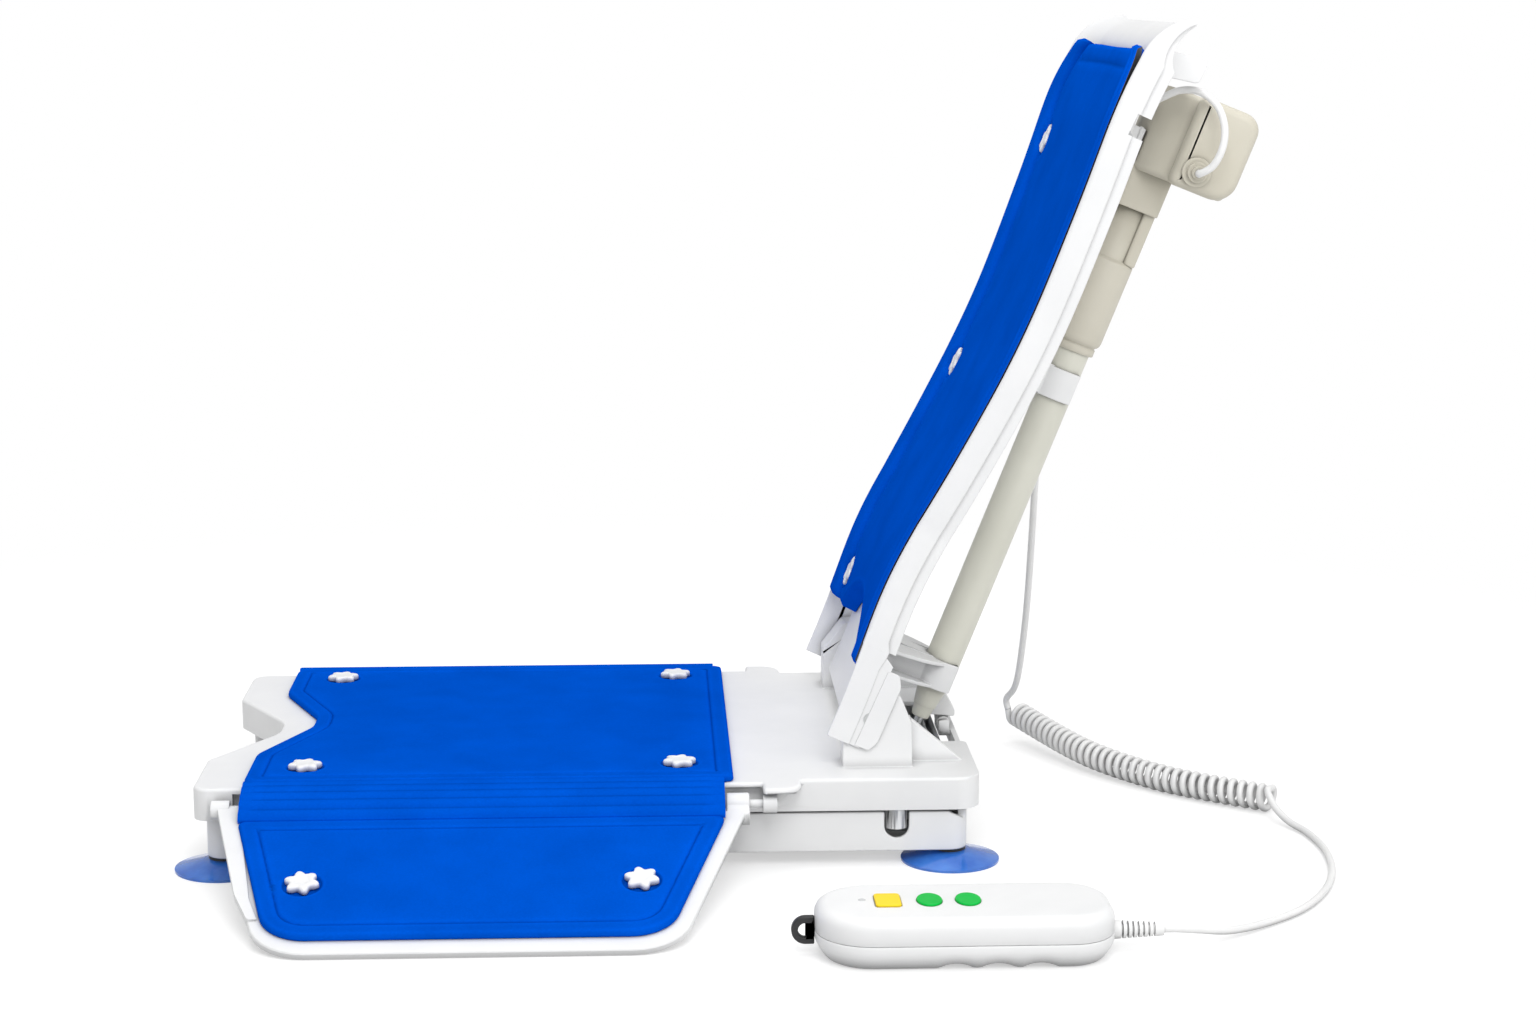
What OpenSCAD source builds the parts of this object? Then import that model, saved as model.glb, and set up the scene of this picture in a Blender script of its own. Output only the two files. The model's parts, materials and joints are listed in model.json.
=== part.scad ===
// Bath lift: a scissor base on suction cups, a seat with hinged side flaps, a reclining backrest
// with its drive, and a hand control on a curly cord.
// The origin is the bath floor at the centre of the four suction cups. +X is the rear, +Z is up.

/* [Fits] */
// Radial clearance of a pin that turns or slides in its bore
run_gap = 0.05; // [0.02:0.01:0.1]
// Gap between neighbouring pieces that must stay clear
clear_gap = 0.3; // [0.2:0.05:0.5]

/* [Base tray] */
// Length of the base tray
base_len = 558; // [550:1:580]
// Width of the base tray
base_w = 326; // [322:1:330]
// Height of the tray's underside above the bath floor
base_low = 11; // [9:0.5:13]
// Height of the tray's walls
base_h = 30; // [26:0.5:31]
// Thickness of the tray's walls
base_wall = 4; // [2.5:0.5:5]
// Thickness of the tray's floor
base_floor = 3; // [2:0.5:4]
// Radius of the tray's upright corners
base_corner_r = 14; // [6:1:18]
// Width of the bay between the tray's front legs
base_bay_w = 216; // [200:1:222]
// Depth of the bay between the tray's front legs
base_bay_depth = 34; // [20:0.5:35]

/* [Suction cups] */
// Distance of the cups from the middle, along the lift
cup_x = 267; // [240:1:268]
// Distance of the cups from the middle, across the lift
cup_y = 148; // [130:1:150]
// Diameter of a suction cup
cup_d = 73; // [50:1:80]
// Thickness of a cup's edge
cup_edge = 1.6; // [1:0.1:2.5]
// Diameter of the black neck above a cup
neck_d = 23; // [18:0.5:23]
// Height of the black neck
neck_h = 2.6; // [1.5:0.1:4]
// Diameter of the stem that fastens a cup
stem_d = 10; // [6:0.5:12]

/* [Seat frame] */
// Height of the seat plate's top above the bath floor
seat_top = 67; // [66:0.5:70]
// Thickness of the seat plate
plate_t = 4; // [3:0.5:5]
// Height of the skirt below the plate
skirt_h = 20; // [16:0.5:20.5]
// Thickness of the skirt's walls
seat_wall = 4; // [3:0.5:5]
// Distance from the middle to the front edge
front_x = 286; // [284:1:300]
// Distance from the middle to the rear edge
rear_x = 288; // [286:1:300]
// Width across the front arms and the flap edges
front_w = 346; // [343:1:348]
// Width of the rear part
rear_w = 332; // [330:1:336]
// Width of the notch between the front arms
notch_w = 184; // [160:1:196]
// Depth of the notch between the front arms
notch_depth = 44; // [30:1:46]
// Width of the notch's rounded bottom
notch_floor = 32; // [26:1:44]
// Width across the two hinge ears
ear_w = 380; // [378:1:390]
// Where an ear starts along the lift
ear_from = 127; // [127:1:130]
// Where an ear ends along the lift
ear_to = 155; // [150:1:170]
// Thickness of an ear
ear_t = 6; // [4:0.5:6.5]
// Width of the rear opening that the drive rod goes through
rear_open_w = 124; // [100:1:140]
// Front end of the rear opening
rear_open_x = 216; // [205:1:218]

/* [Backrest posts] */
// Front face of a post
post_front = 188; // [184:0.5:190]
// Length of a post along the lift
post_len = 52; // [46:0.5:56]
// Thickness of a post
post_t = 27; // [20:0.5:28]
// Height of the recline axis above the bath floor
recline_z = 104; // [102:0.5:106]
// Place of the recline axis along the lift
recline_x = 208; // [206:0.5:210]
// Radius of a recline pin
recline_pin_r = 5; // [3.5:0.25:6]

/* [Scissor lift] */
// Place of the fixed pivots along the lift
pivot_x = 264; // [260:0.5:264]
// Height of the base pivots
low_pivot_z = 24; // [23:0.25:25]
// Height of the seat pivots above the base pivots when lowered
stack_z = 16; // [15.5:0.25:17]
// Length of an arm between its end pivots
arm_len = 485; // [470:1:486]
// Height of an arm's flat bar
arm_h = 14; // [11:0.5:15]
// Thickness of an arm's flat bar
arm_t = 8; // [5:0.5:9]
// Inner face of the outer arms
outer_arm_y = 128; // [126:0.5:129]
// Inner face of the inner arms
inner_arm_y = 114; // [113:0.5:115]
// Radius of the end and centre pins
pin_r = 4; // [3:0.25:5]
// Radius of the cross tubes
cross_r = 5.8; // [5:0.1:5.9]
// Radius of the drive shaft that carries the seat pivots
shaft_r = 7; // [6:0.25:8]
// Length of a slide block
block_len = 28; // [20:0.5:32]
// Width of a slide block
block_w = 11; // [8:0.5:12]
// Height of a slide block
block_h = 15.5; // [14:0.25:15.5]

/* [Side flaps] */
// Distance of a flap's hinge from the middle
hinge_y = 182; // [181:0.25:184]
// Height of a flap's hinge
hinge_z = 54; // [52:0.25:55]
// Radius of a flap's hinge rod
rod_r = 3; // [2.5:0.25:3.5]
// Length of a flap from its hinge
flap_len = 180; // [160:1:200]
// Thickness of a flap's plate
flap_t = 5; // [4:0.5:6]
// Front end of a flap at its hinge
flap_front = 256; // [250:0.5:256]
// Rear end of a flap at its hinge
flap_rear = 118; // [114:0.5:118]
// How far a flap's front edge slants in
flap_front_slant = 36; // [10:1:50]
// How far a flap's rear edge slants in
flap_rear_slant = 54; // [10:1:70]
// Radius of a flap's outer corners
flap_corner_r = 42; // [15:1:45]

/* [Covers] */
// Thickness of the seat and flap covers
cover_t = 5.5; // [4:0.25:7]
// Front edge of the seat cover
cover_front = 249; // [240:0.5:252]
// Rear edge of the seat cover
cover_rear = 106; // [100:0.5:108]
// Depth of the cover's front notch
cover_notch = 33; // [20:0.5:35]
// White border left beside a flap's cover
flap_border = 13; // [8:0.5:16]
// Depth of the pressed line round a cover
line_depth = 1.2; // [0.5:0.1:2]
// Width of the pressed line round a cover
line_w = 3; // [2:0.25:4]
// Distance of the pressed line from the cover's edge
line_inset = 11; // [8:0.5:14]
// Number of fold ribs between seat and flap
fold_ribs = 5; // [3:1:7]

/* [Knobs] */
// Radius of a star knob out to its lobes
knob_r = 12.5; // [10:0.25:14]
// Height of a star knob above its cover
knob_h = 3.5; // [2.5:0.25:5]
// Radius of a knob's stem
knob_stem_r = 5; // [3.5:0.25:6]
// Front pair of seat knobs
seat_knob_front = 208; // [195:1:212]
// Rear pair of seat knobs
seat_knob_rear = 67; // [50:1:80]
// Distance of the seat knobs from the middle
seat_knob_y = 136; // [130:0.5:140]
// Distance of the flap knobs from the hinge
flap_knob_s = 107; // [95:1:120]
// Front flap knob
flap_knob_front = 194; // [180:1:200]
// Rear flap knob
flap_knob_rear = 39; // [25:1:45]
// Distance of the backrest knobs from the rim's edge
back_knob_in = 40; // [38:0.5:42]

/* [Backrest] */
// Place of the rim's lower end along the lift
back_x = 176; // [174:0.5:178]
// Height of the rim's lower end
back_z = 93; // [92:0.5:95]
// Lean of the backrest from upright
back_tilt = 24; // [23.5:0.1:24.5]
// Length of the backrest up to its rolled top
back_len = 540; // [520:1:560]
// Half width of the backrest at its lower end
back_half_w = 139; // [138.5:0.25:141]
// How much wider each side gets towards the top
back_flare = 31; // [15:0.5:36]
// Depth of the tray that the cover lies in
tray_depth = 18; // [16:0.5:20]
// Thickness of the tray's floor
tray_floor_t = 4; // [3:0.25:5]
// Depth of the rim's outer band
rim_depth = 18; // [15:0.5:20]
// Depth of the stepped band behind the rim
band_depth = 9; // [7:0.5:12]
// Bow of the lower back
low_bow = 6.5; // [4:0.5:9]
// Dip of the middle of the back
mid_dip = 6.4; // [3:0.1:8]
// Bow of the shoulders
high_bow = 4.5; // [1:0.5:6]
// Radius of the rolled top
roll_r = 45; // [40:1:55]
// Thickness of the backrest cover
back_cover_t = 14; // [10:0.5:15]
// Height of the arch cut from the cover's lower edge
arch_h = 32; // [15:1:40]

/* [Drive] */
// Place of the drive tube's lower end along the lift
nose_x = 258; // [256:0.5:260]
// Height of the drive tube's lower end
nose_z = 71; // [70:0.5:73]
// Lean of the drive from upright
drive_tilt = 21.7; // [21.3:0.1:22]
// Radius of the drive tube
tube_r = 14; // [12:0.25:15]
// Wall of the drive tube
tube_wall = 2; // [1.5:0.25:2.5]
// Length of the tapered nose
nose_len = 30; // [29:0.5:40]
// Where the tube enters the gear housing
sleeve_z = 312; // [305:1:320]
// Where the motor housing starts
motor_z = 458; // [450:1:465]
// Height of the motor housing
motor_h = 67; // [60:0.5:72]
// Width of the motor housing
motor_w = 92; // [80:1:100]
// Depth of the motor housing's front, before the drive's axis
motor_front = 16; // [14:0.5:17]
// Depth of the motor housing's back, behind the drive's axis
motor_back = 55; // [48:0.5:60]
// Thickness of the motor's side cover
motor_cover_t = 16; // [10:0.5:20]
// Radius of the push tube
push_r = 5; // [4.5:0.1:5]
// Radius of the push rod
push_rod_r = 3.2; // [2.5:0.1:3.5]
// Radius of the push rod's round tip
tip_r = 4.6; // [4:0.1:4.8]
// Reach of the push rod from the nose to the drive crank
rod_reach = 32; // [31:0.5:34]

/* [Hand control] */
// Length of the hand control
hand_len = 200; // [190:1:210]
// Width of the hand control
hand_w = 84; // [76:0.5:90]
// Height of the hand control
hand_h = 36; // [34:0.5:40]
// Wall of the hand control's shells
hand_wall = 2.5; // [2:0.25:3]
// Height of the seam between its shells
hand_seam = 18; // [17:0.5:19]
// Front end of the hand control along the lift
hand_x = 154; // [152:0.5:156]
// Middle line of the hand control, across the lift
hand_y = -355; // [-360:0.5:-350]
// Travel of its buttons
button_travel = 1.2; // [0.8:0.1:1.5]

/* [Cord] */
// Diameter of the cord
cord_d = 5.5; // [4.5:0.1:6]
// Outer diameter of the curly stretch
coil_d = 22.5; // [20:0.5:24]
// Curls of the curly stretch
coil_turns = 34; // [24:1:36]

/* [Hidden] */
$fn = 64;
arc_steps = 7;

white = "#f4f4f2";
cover_blue = "#0a49c9";
cup_blue = "#3f86f2";
beige = "#cfcab9";
cream = "#dcdacb";
steel = "#9a9da0";
black = "#222222";

base_top = base_low + base_h;
floor_top = base_low + base_floor;
plate_low = seat_top - plate_t;
skirt_low = plate_low - skirt_h;
seat_pivot_z = low_pivot_z + stack_z;
rest_angle = asin(stack_z / arm_len);
slide_x = pivot_x - arm_len * cos(rest_angle);
rail_front = slide_x - block_len / 2 - 3;
rail_rear = pivot_x - arm_len * cos(62) + block_len / 2 + 4;
rail_t = 2;
flap_lip = 7;
drawn_side = 166;
side_y = front_w / 2 - flap_lip;
edge_shift = side_y - drawn_side;
rear_shift = rear_w / 2 - drawn_side;
arm_shift = min(0, edge_shift);
outer_y = outer_arm_y + arm_shift;
inner_y = inner_arm_y + arm_shift;
hinge_at = hinge_y + edge_shift;
ear_half = ear_w / 2 + max(edge_shift, rear_shift);
knob_y = seat_knob_y + arm_shift;
base_half = base_w / 2 + max(0, rear_shift);
lower_block_y = inner_y - 1.5 - block_w;
upper_block_y = outer_y + arm_t + 1.5;
post_out = back_half_w - 4.3;
knuckle_r = 8;
flap_start = 12;
cover_start = 24;
flap_reach = sqrt(pow(flap_len, 2) + pow(flap_t / 2, 2));
flap_drop = asin((hinge_z - clear_gap) / flap_reach) - atan(flap_t / 2 / flap_len);
cup_top = base_low - neck_h;
coil_r = (coil_d - cord_d) / 2;

// Points of an outline whose corners [x, y, radius] are rounded.
function unit(v) = v / norm(v);
function arc_corner(a, b, c, r) =
    let (u = unit(a - b), w = unit(c - b), half = acos(u * w) / 2,
        centre = b + unit(u + w) * r / sin(half),
        p = b + u * r / tan(half) - centre, q = b + w * r / tan(half) - centre,
        a0 = atan2(p[1], p[0]), turn = atan2(q[1], q[0]) - a0,
        sweep = turn > 180 ? turn - 360 : turn < -180 ? turn + 360 : turn)
    [for (i = [0:arc_steps]) let (t = a0 + sweep * i / arc_steps) centre + r * [cos(t), sin(t)]];
function xy(p) = [p[0], p[1]];
function rounded(pts) =
    [for (i = [0:len(pts) - 1])
        let (n = len(pts), a = xy(pts[(i + n - 1) % n]), b = xy(pts[i]), c = xy(pts[(i + 1) % n]))
        each (pts[i][2] <= 0 ? [b] : arc_corner(a, b, c, pts[i][2]))];
function both_sides(half) =
    concat(half, [for (i = [len(half) - 1:-1:0]) [half[i][0], -half[i][1], half[i][2]]]);
function bump(t) = exp(-t * t);
function ease(t) = let (c = min(1, max(0, t))) c * c * (3 - 2 * c);

module outline(pts, t) {
    linear_extrude(t) polygon(rounded(pts));
}
module both() {
    children();
    mirror([0, 1, 0]) children();
}
// A flat shape drawn in X and Z, given a thickness along Y from y0.
module side_plate(pts, y0, t) {
    translate([0, y0 + t, 0]) rotate([90, 0, 0]) outline(pts, t);
}
module y_rod(x, z, r, y0, y1) {
    translate([x, y0, z]) rotate([-90, 0, 0]) cylinder(r = r, h = y1 - y0);
}
module x_rod(y, z, r, x0, x1) {
    translate([x0, y, z]) rotate([0, 90, 0]) cylinder(r = r, h = x1 - x0);
}
module box(x0, x1, y0, y1, z0, z1) {
    translate([x0, y0, z0]) cube([x1 - x0, y1 - y0, z1 - z0]);
}

// A closed skin over rings that all have the same number of points. A hollow ring brings its end faces.
module skin(rings, ends = []) {
    n = len(rings[0]);
    last = len(rings) - 1;
    caps = len(ends) > 0 ? ends : [[for (j = [0:n - 1]) j]];
    polyhedron(points = [for (ring = rings) each ring],
        faces = concat(
            [for (f = caps) [for (j = [len(f) - 1:-1:0]) f[j]]],
            [for (f = caps) [for (j = f) last * n + j]],
            [for (i = [0:last - 1], j = [0:n - 1])
                [i * n + j, (i + 1) * n + (j + 1) % n, (i + 1) * n + j]],
            [for (i = [0:last - 1], j = [0:n - 1])
                [i * n + j, i * n + (j + 1) % n, (i + 1) * n + (j + 1) % n]]));
}
function curve_point(p, i, t) =
    let (a = p[max(i - 1, 0)], b = p[i], c = p[i + 1], d = p[min(i + 2, len(p) - 1)])
    0.5 * (2 * b + (c - a) * t + (2 * a - 5 * b + 4 * c - d) * t * t
        + (3 * b - a - 3 * c + d) * t * t * t);
function smooth_route(p, steps) =
    concat([for (i = [0:len(p) - 2], k = [0:steps - 1]) curve_point(p, i, k / steps)],
        [p[len(p) - 1]]);
function tangents(p) =
    [for (i = [0:len(p) - 1]) unit(p[min(i + 1, len(p) - 1)] - p[max(i - 1, 0)])];
function carry(v, t) = unit(v - (v * t) * t);
function tube_rings(p, r, sides) =
    let (t = tangents(p), first = carry(abs(t[0][2]) < 0.8 ? [0, 0, 1] : [1, 0, 0], t[0]),
        v = [for (i = 0, n = first; i < len(p); n = carry(n, t[min(i + 1, len(p) - 1)]), i = i + 1) n])
    [for (i = [0:len(p) - 1]) let (w = cross(t[i], v[i]))
        [for (k = [0:sides - 1]) let (a = -360 * k / sides) p[i] + r * (cos(a) * v[i] + sin(a) * w)]];
function route_length(p) =
    len(p) < 2 ? 0 : let (d = [for (i = [1:len(p) - 1]) norm(p[i] - p[i - 1])]) d * [for (x = d) 1];

// Base: tray, suction cups, rails and pivot pins.
boss_x = 226;
boss_r = 8;
boss_y = rear_w / 2 - 9;
boss_drop = 15;
notch_clear = 1;
base_boss_y = outer_y + arm_t + 1.5;
base_boss_w = 10;
module base_tray() {
    half = base_len / 2;
    side = base_half;
    bay = base_bay_w / 2;
    inner_r = max(base_corner_r - base_wall, 1);
    color(white) difference() {
        union() {
            difference() {
                translate([0, 0, base_low])
                    outline(both_sides([[half, side, base_corner_r], [-half, side, base_corner_r],
                        [-half, bay, 6], [-half + base_bay_depth, bay, 8]]), base_h);
                translate([0, 0, floor_top])
                    outline(both_sides([[half - base_wall, side - base_wall, inner_r],
                        [-half + base_wall, side - base_wall, inner_r], [-half + base_wall,
                            bay + base_wall, 2],
                        [-half + base_bay_depth + base_wall, bay + base_wall, 8 + base_wall]]), base_h);
            }
            both() side_plate([[pivot_x - 12, floor_top - 1, 0], [pivot_x + 11, floor_top - 1, 0],
                [pivot_x + 9, low_pivot_z + 8, 6], [pivot_x - 9, low_pivot_z + 8, 6]],
                base_boss_y, base_boss_w);
        }
        both() y_rod(pivot_x, low_pivot_z, pin_r + run_gap, base_boss_y - 1,
            base_boss_y + base_boss_w + 1);
        both() {
            box(boss_x - boss_r - notch_clear, boss_x + boss_r + notch_clear,
                boss_y - boss_r - notch_clear, side + 1, base_top - 11, base_top + 1);
            y_rod(boss_x, base_top - 11, boss_r + notch_clear, boss_y - boss_r - notch_clear, side + 1);
            side_plate([[half - 17, base_top + 1, 0], [half + 1, base_top + 1, 0], [half + 1,
                base_top - 9, 0]],
                boss_y, side + 1 - boss_y);
        }
        for (x = [-cup_x, cup_x], y = [-cup_y, cup_y])
            translate([x, y, base_low - 1]) cylinder(d = stem_d + 2 * run_gap, h = base_floor + 2);
        for (x = [-150, 0, 150], y = [-45, 45])
            translate([x, y, base_low - 1]) cylinder(r = 9, h = base_floor + 2);
    }
}
module at_cups() {
    for (x = [-cup_x, cup_x], y = [-cup_y, cup_y]) translate([x, y, 0]) children();
}
module suction_cups() {
    r = cup_d / 2;
    foot_r = neck_d / 2;
    color(cup_blue) at_cups() {
        rotate_extrude() polygon([[r - 4, 0], [r, 0], [r, cup_edge], [r - 5, cup_edge + 1.4],
            [foot_r + 4, cup_top - 0.8], [foot_r, cup_top], [0, cup_top], [0, cup_top - 2.5],
            [foot_r, cup_top - 2.8]]);
        translate([0, 0, cup_top - 1]) cylinder(d = stem_d, h = neck_h + base_floor + 1);
    }
}
module cup_necks() {
    color(black) at_cups() translate([0, 0, cup_top]) difference() {
        cylinder(d = neck_d, h = neck_h);
        translate([0, 0, -1]) cylinder(d = stem_d + 2 * run_gap, h = neck_h + 2);
    }
}
// A slotted guide for a slide block, centred on height z.
module slot_rail(y0, z) {
    low = z - block_h / 2 - run_gap;
    high = z + block_h / 2 + run_gap;
    difference() {
        box(rail_front, rail_rear, y0, y0 + block_w, low - rail_t, high + rail_t);
        box(rail_front + rail_t, rail_rear - rail_t, y0 - 1, y0 + block_w + 1, low, high);
    }
}
module lower_rails() {
    low = low_pivot_z - block_h / 2 - run_gap - rail_t;
    color(steel) both() {
        slot_rail(lower_block_y, low_pivot_z);
        if (low > floor_top)
            for (x = [rail_front, rail_rear - 20])
                box(x, x + 20, lower_block_y, lower_block_y + block_w, floor_top, low + 1);
    }
}
module base_pivot_pins() {
    color(steel) both() y_rod(pivot_x, low_pivot_z, pin_r, outer_y - 1.5, base_boss_y + base_boss_w);
}

// Scissor: two pairs of arms with their tubes, pins, slide blocks and crank.
eye_r = arm_h / 2 + 1;
hub_r = 11;
eye_step = 0.3;
// A flat arm from the rear pivot at height z_rear to the front pivot at height z_front.
module arm(z_rear, z_front, y0, rear_eye_r, rear_bore, front_bore) {
    mid = [(pivot_x + slide_x) / 2, (z_rear + z_front) / 2];
    difference() {
        union() {
            translate([pivot_x, y0, z_rear]) rotate([0, atan2(z_front - z_rear, pivot_x - slide_x), 0])
                translate([-arm_len - 2, 0, -arm_h / 2]) cube([arm_len + 4 + rear_eye_r - eye_r, arm_t,
                    arm_h]);
            y_rod(pivot_x, z_rear, rear_eye_r, y0 + eye_step, y0 + arm_t - eye_step);
            y_rod(slide_x, z_front, eye_r, y0 + eye_step, y0 + arm_t - eye_step);
            y_rod(mid[0], mid[1], eye_r + 2, y0 + eye_step, y0 + arm_t - eye_step);
        }
        y_rod(pivot_x, z_rear, rear_bore, y0 - 1, y0 + arm_t + 1);
        y_rod(slide_x, z_front, front_bore, y0 - 1, y0 + arm_t + 1);
        y_rod(mid[0], mid[1], pin_r + run_gap, y0 - 1, y0 + arm_t + 1);
    }
}
module outer_arm() {
    arm(low_pivot_z, seat_pivot_z, outer_y, eye_r, pin_r + run_gap, pin_r);
}
module inner_arm() {
    arm(seat_pivot_z, low_pivot_z, inner_y, hub_r, shaft_r, pin_r);
}
module outer_arm_far() {
    color(steel) outer_arm();
}
module outer_arm_near() {
    color(steel) mirror([0, 1, 0]) outer_arm();
}
module inner_arm_far() {
    color(steel) inner_arm();
}
module inner_arm_near() {
    color(steel) mirror([0, 1, 0]) inner_arm();
}
// A cross tube with thin ends that go through the arms into the slide blocks.
module outer_cross_tube() {
    end = upper_block_y + block_w - 1;
    color(steel) {
        y_rod(slide_x, seat_pivot_z, cross_r, -outer_y, outer_y);
        y_rod(slide_x, seat_pivot_z, pin_r, -end, end);
    }
}
module inner_cross_tube() {
    color(steel) {
        y_rod(slide_x, low_pivot_z, cross_r, -lower_block_y + 1, lower_block_y - 1);
        y_rod(slide_x, low_pivot_z, pin_r, -inner_y - arm_t, inner_y + arm_t);
    }
}
module centre_pins() {
    x = (pivot_x + slide_x) / 2;
    z = (low_pivot_z + seat_pivot_z) / 2;
    color(steel) both() {
        y_rod(x, z, pin_r, inner_y - 1, outer_y + arm_t + 1);
        y_rod(x, z, pin_r + 3, inner_y + arm_t + clear_gap, outer_y - clear_gap);
    }
}
module slide_block(y0, z) {
    difference() {
        box(slide_x - block_len / 2, slide_x + block_len / 2, y0, y0 + block_w, z - block_h / 2,
            z + block_h / 2);
        y_rod(slide_x, z, pin_r + run_gap, y0 - 1, y0 + block_w + 1);
    }
}
module upper_slide_blocks() {
    color(white) both() slide_block(upper_block_y, seat_pivot_z);
}
module lower_slide_blocks() {
    color(white) both() slide_block(lower_block_y, low_pivot_z);
}
// Two half shafts leave the middle free for the push rod.
cheek_y = 13;
cheek_t = 8;
hanger_y = 101 + arm_shift;
hanger_t = 10;
module drive_shafts() {
    color(steel) both() y_rod(pivot_x, seat_pivot_z, shaft_r, cheek_y, inner_y + arm_t);
}
// The push rod's contact point on the crank, and the crank's plate square to the rod.
push_dir = [-sin(drive_tilt), -cos(drive_tilt)];
contact = [nose_x, nose_z] + push_dir * rod_reach;
pad_back = 12;
pad_front = 18;
pad_t = 5;
module drive_crank() {
    along = [push_dir[1], -push_dir[0]];
    front = contact + along * pad_front;
    back = contact - along * pad_back;
    color(white) {
        both() difference() {
            union() {
                y_rod(pivot_x, seat_pivot_z, hub_r, cheek_y, cheek_y + cheek_t);
                side_plate([[pivot_x - 2, seat_pivot_z + hub_r - 3, 0], [front[0], front[1], 0],
                    [front[0] + push_dir[0] * pad_t, front[1] + push_dir[1] * pad_t, 0],
                    [pivot_x, seat_pivot_z - hub_r + 1, 0]], cheek_y, cheek_t);
            }
            y_rod(pivot_x, seat_pivot_z, shaft_r, cheek_y - 1, cheek_y + cheek_t + 1);
        }
        side_plate([[front[0], front[1], 0], [back[0], back[1], 0],
            [back[0] + push_dir[0] * pad_t, back[1] + push_dir[1] * pad_t, 0],
            [front[0] + push_dir[0] * pad_t, front[1] + push_dir[1] * pad_t, 0]], -cheek_y - 1,
                2 * cheek_y + 2);
    }
}

// Seat: frame with posts, rails, cover, knobs and hinge rods.
function bay_turn(depth) = tan(atan2(depth, (notch_w - notch_floor) / 2) / 2);
notch_turn = bay_turn(notch_depth);
cover_turn = bay_turn(cover_notch);
notch_r = 42;
front_lug = [-flap_front - 14, -flap_front - 1];
mid_lug = [-44, -20];
ear_lug = [ear_from, ear_from + 10];
// The skirt's side steps where the rear part is wider or narrower than the part beside the flaps.
function skirt_step(i) =
    let (gain = rear_w / 2 - side_y, x = ear_to + sign(gain) * i, r = min(0.5, abs(gain) / 3))
    gain == 0 ? [] : [[x, rear_w / 2 - i, r], [x, side_y - i, r]];
function skirt_half(i) = concat([[rear_x - i, rear_w / 2 - i, 18 - i]], skirt_step(i),
    [[-flap_front - i, side_y - i, 0.5], [-flap_front - i, front_w / 2 - i, 0.5],
    [-front_x + i, front_w / 2 - i, 12 - i], [-front_x + i, notch_w / 2 + i * notch_turn, 14 - i],
    [-front_x + notch_depth + i, notch_floor / 2 + i * notch_turn, notch_r]]);
module plate_shape(z, t) {
    translate([0, 0, z]) outline(both_sides([[rear_open_x, rear_open_w / 2, 8], [rear_x,
        rear_open_w / 2, 4],
        [rear_x, rear_w / 2, 18], [ear_to, rear_w / 2, 3], [ear_to, ear_half, 16],
        [ear_from, ear_half, 3], [ear_from, front_w / 2, 2], [-front_x, front_w / 2, 12],
        [-front_x, notch_w / 2, 14], [-front_x + notch_depth, notch_floor / 2, notch_r]]), t);
}
post_top = recline_z + 18;
post_rear = post_front + post_len;
module post() {
    difference() {
        union() {
            side_plate([[post_front, plate_low, 0], [post_rear, plate_low, 0], [post_rear - 1,
                recline_z - 4, 3],
                [post_rear - 10, post_top, 5], [recline_x - 3, post_top, 6], [post_front, recline_z - 4,
                    4]],
                post_out - post_t, post_t);
            side_plate([[post_rear - 2, plate_low, 0], [rear_x - 9, plate_low, 0], [rear_x - 9,
                seat_top, 0],
                [post_rear - 2, recline_z - 3, 0]], post_out - post_t + 3, 8);
        }
        y_rod(recline_x, recline_z, recline_pin_r + run_gap, post_out - post_t - 1, post_out + 1);
    }
}
// An eye round the flap's hinge rod, held by the plate above it.
module seat_lug(x0, x1, from_y) {
    difference() {
        union() {
            x_rod(hinge_at, hinge_z, knuckle_r - 1.3, x0, x1);
            box(x0, x1, from_y, hinge_at, hinge_z - knuckle_r + 2, hinge_z + 1);
        }
        x_rod(hinge_at, hinge_z, rod_r, x0 - 1, x1 + 1);
    }
}
lever_x = rear_x - 9;
lever_z = 60;
lever_y = [20, 44];
module lever_mount() {
    low = 51;
    y_rod(lever_x, lever_z, 2.5, lever_y[0] - 6, lever_y[1] + 6);
    for (y = [lever_y[0] - 6, lever_y[1] + 1]) box(lever_x - 4, rear_x - 1, y, y + 5, low, lever_z + 3);
    box(lever_x - 4, rear_x - 1, lever_y[0] - 6, lever_y[1] + 6, low, low + 3);
}
module seat_frame() {
    color(white) difference() {
        union() {
            plate_shape(plate_low, plate_t);
            lever_mount();
            translate([0, 0, skirt_low]) difference() {
                outline(both_sides(skirt_half(0)), skirt_h + 0.5);
                translate([0, 0, -1]) outline(both_sides(skirt_half(seat_wall)), skirt_h + 3);
            }
            both() {
                post();
                box(ear_from, ear_to - 4, side_y - 1, ear_half - 8, seat_top - ear_t, plate_low + 1);
                seat_lug(front_lug[0], front_lug[1], side_y - 1);
                seat_lug(mid_lug[0], mid_lug[1], side_y - 1);
                seat_lug(ear_lug[0], ear_lug[1], side_y - 1);
                translate([boss_x, boss_y, skirt_low - boss_drop])
                    cylinder(r = boss_r, h = plate_low - skirt_low + boss_drop + 1);
                side_plate([[pivot_x - 12, plate_low + 1, 0], [pivot_x - 9, seat_pivot_z - 9, 4],
                    [pivot_x + 9, seat_pivot_z - 9, 4], [pivot_x + 12, plate_low + 1, 0]], hanger_y,
                        hanger_t);
            }
        }
        both() {
            y_rod(pivot_x, seat_pivot_z, shaft_r + run_gap, hanger_y - 1, hanger_y + hanger_t + 1);
            for (x = [-seat_knob_front, seat_knob_rear])
                translate([x, knob_y, plate_low - 1]) cylinder(r = knob_stem_r + run_gap,
                    h = plate_t + 2);
        }
        box(rear_x - seat_wall - 1, rear_x + 1, -rear_open_w / 2 + 4, rear_open_w / 2 - 4, 56,
            seat_top + 1);
    }
}
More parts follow.
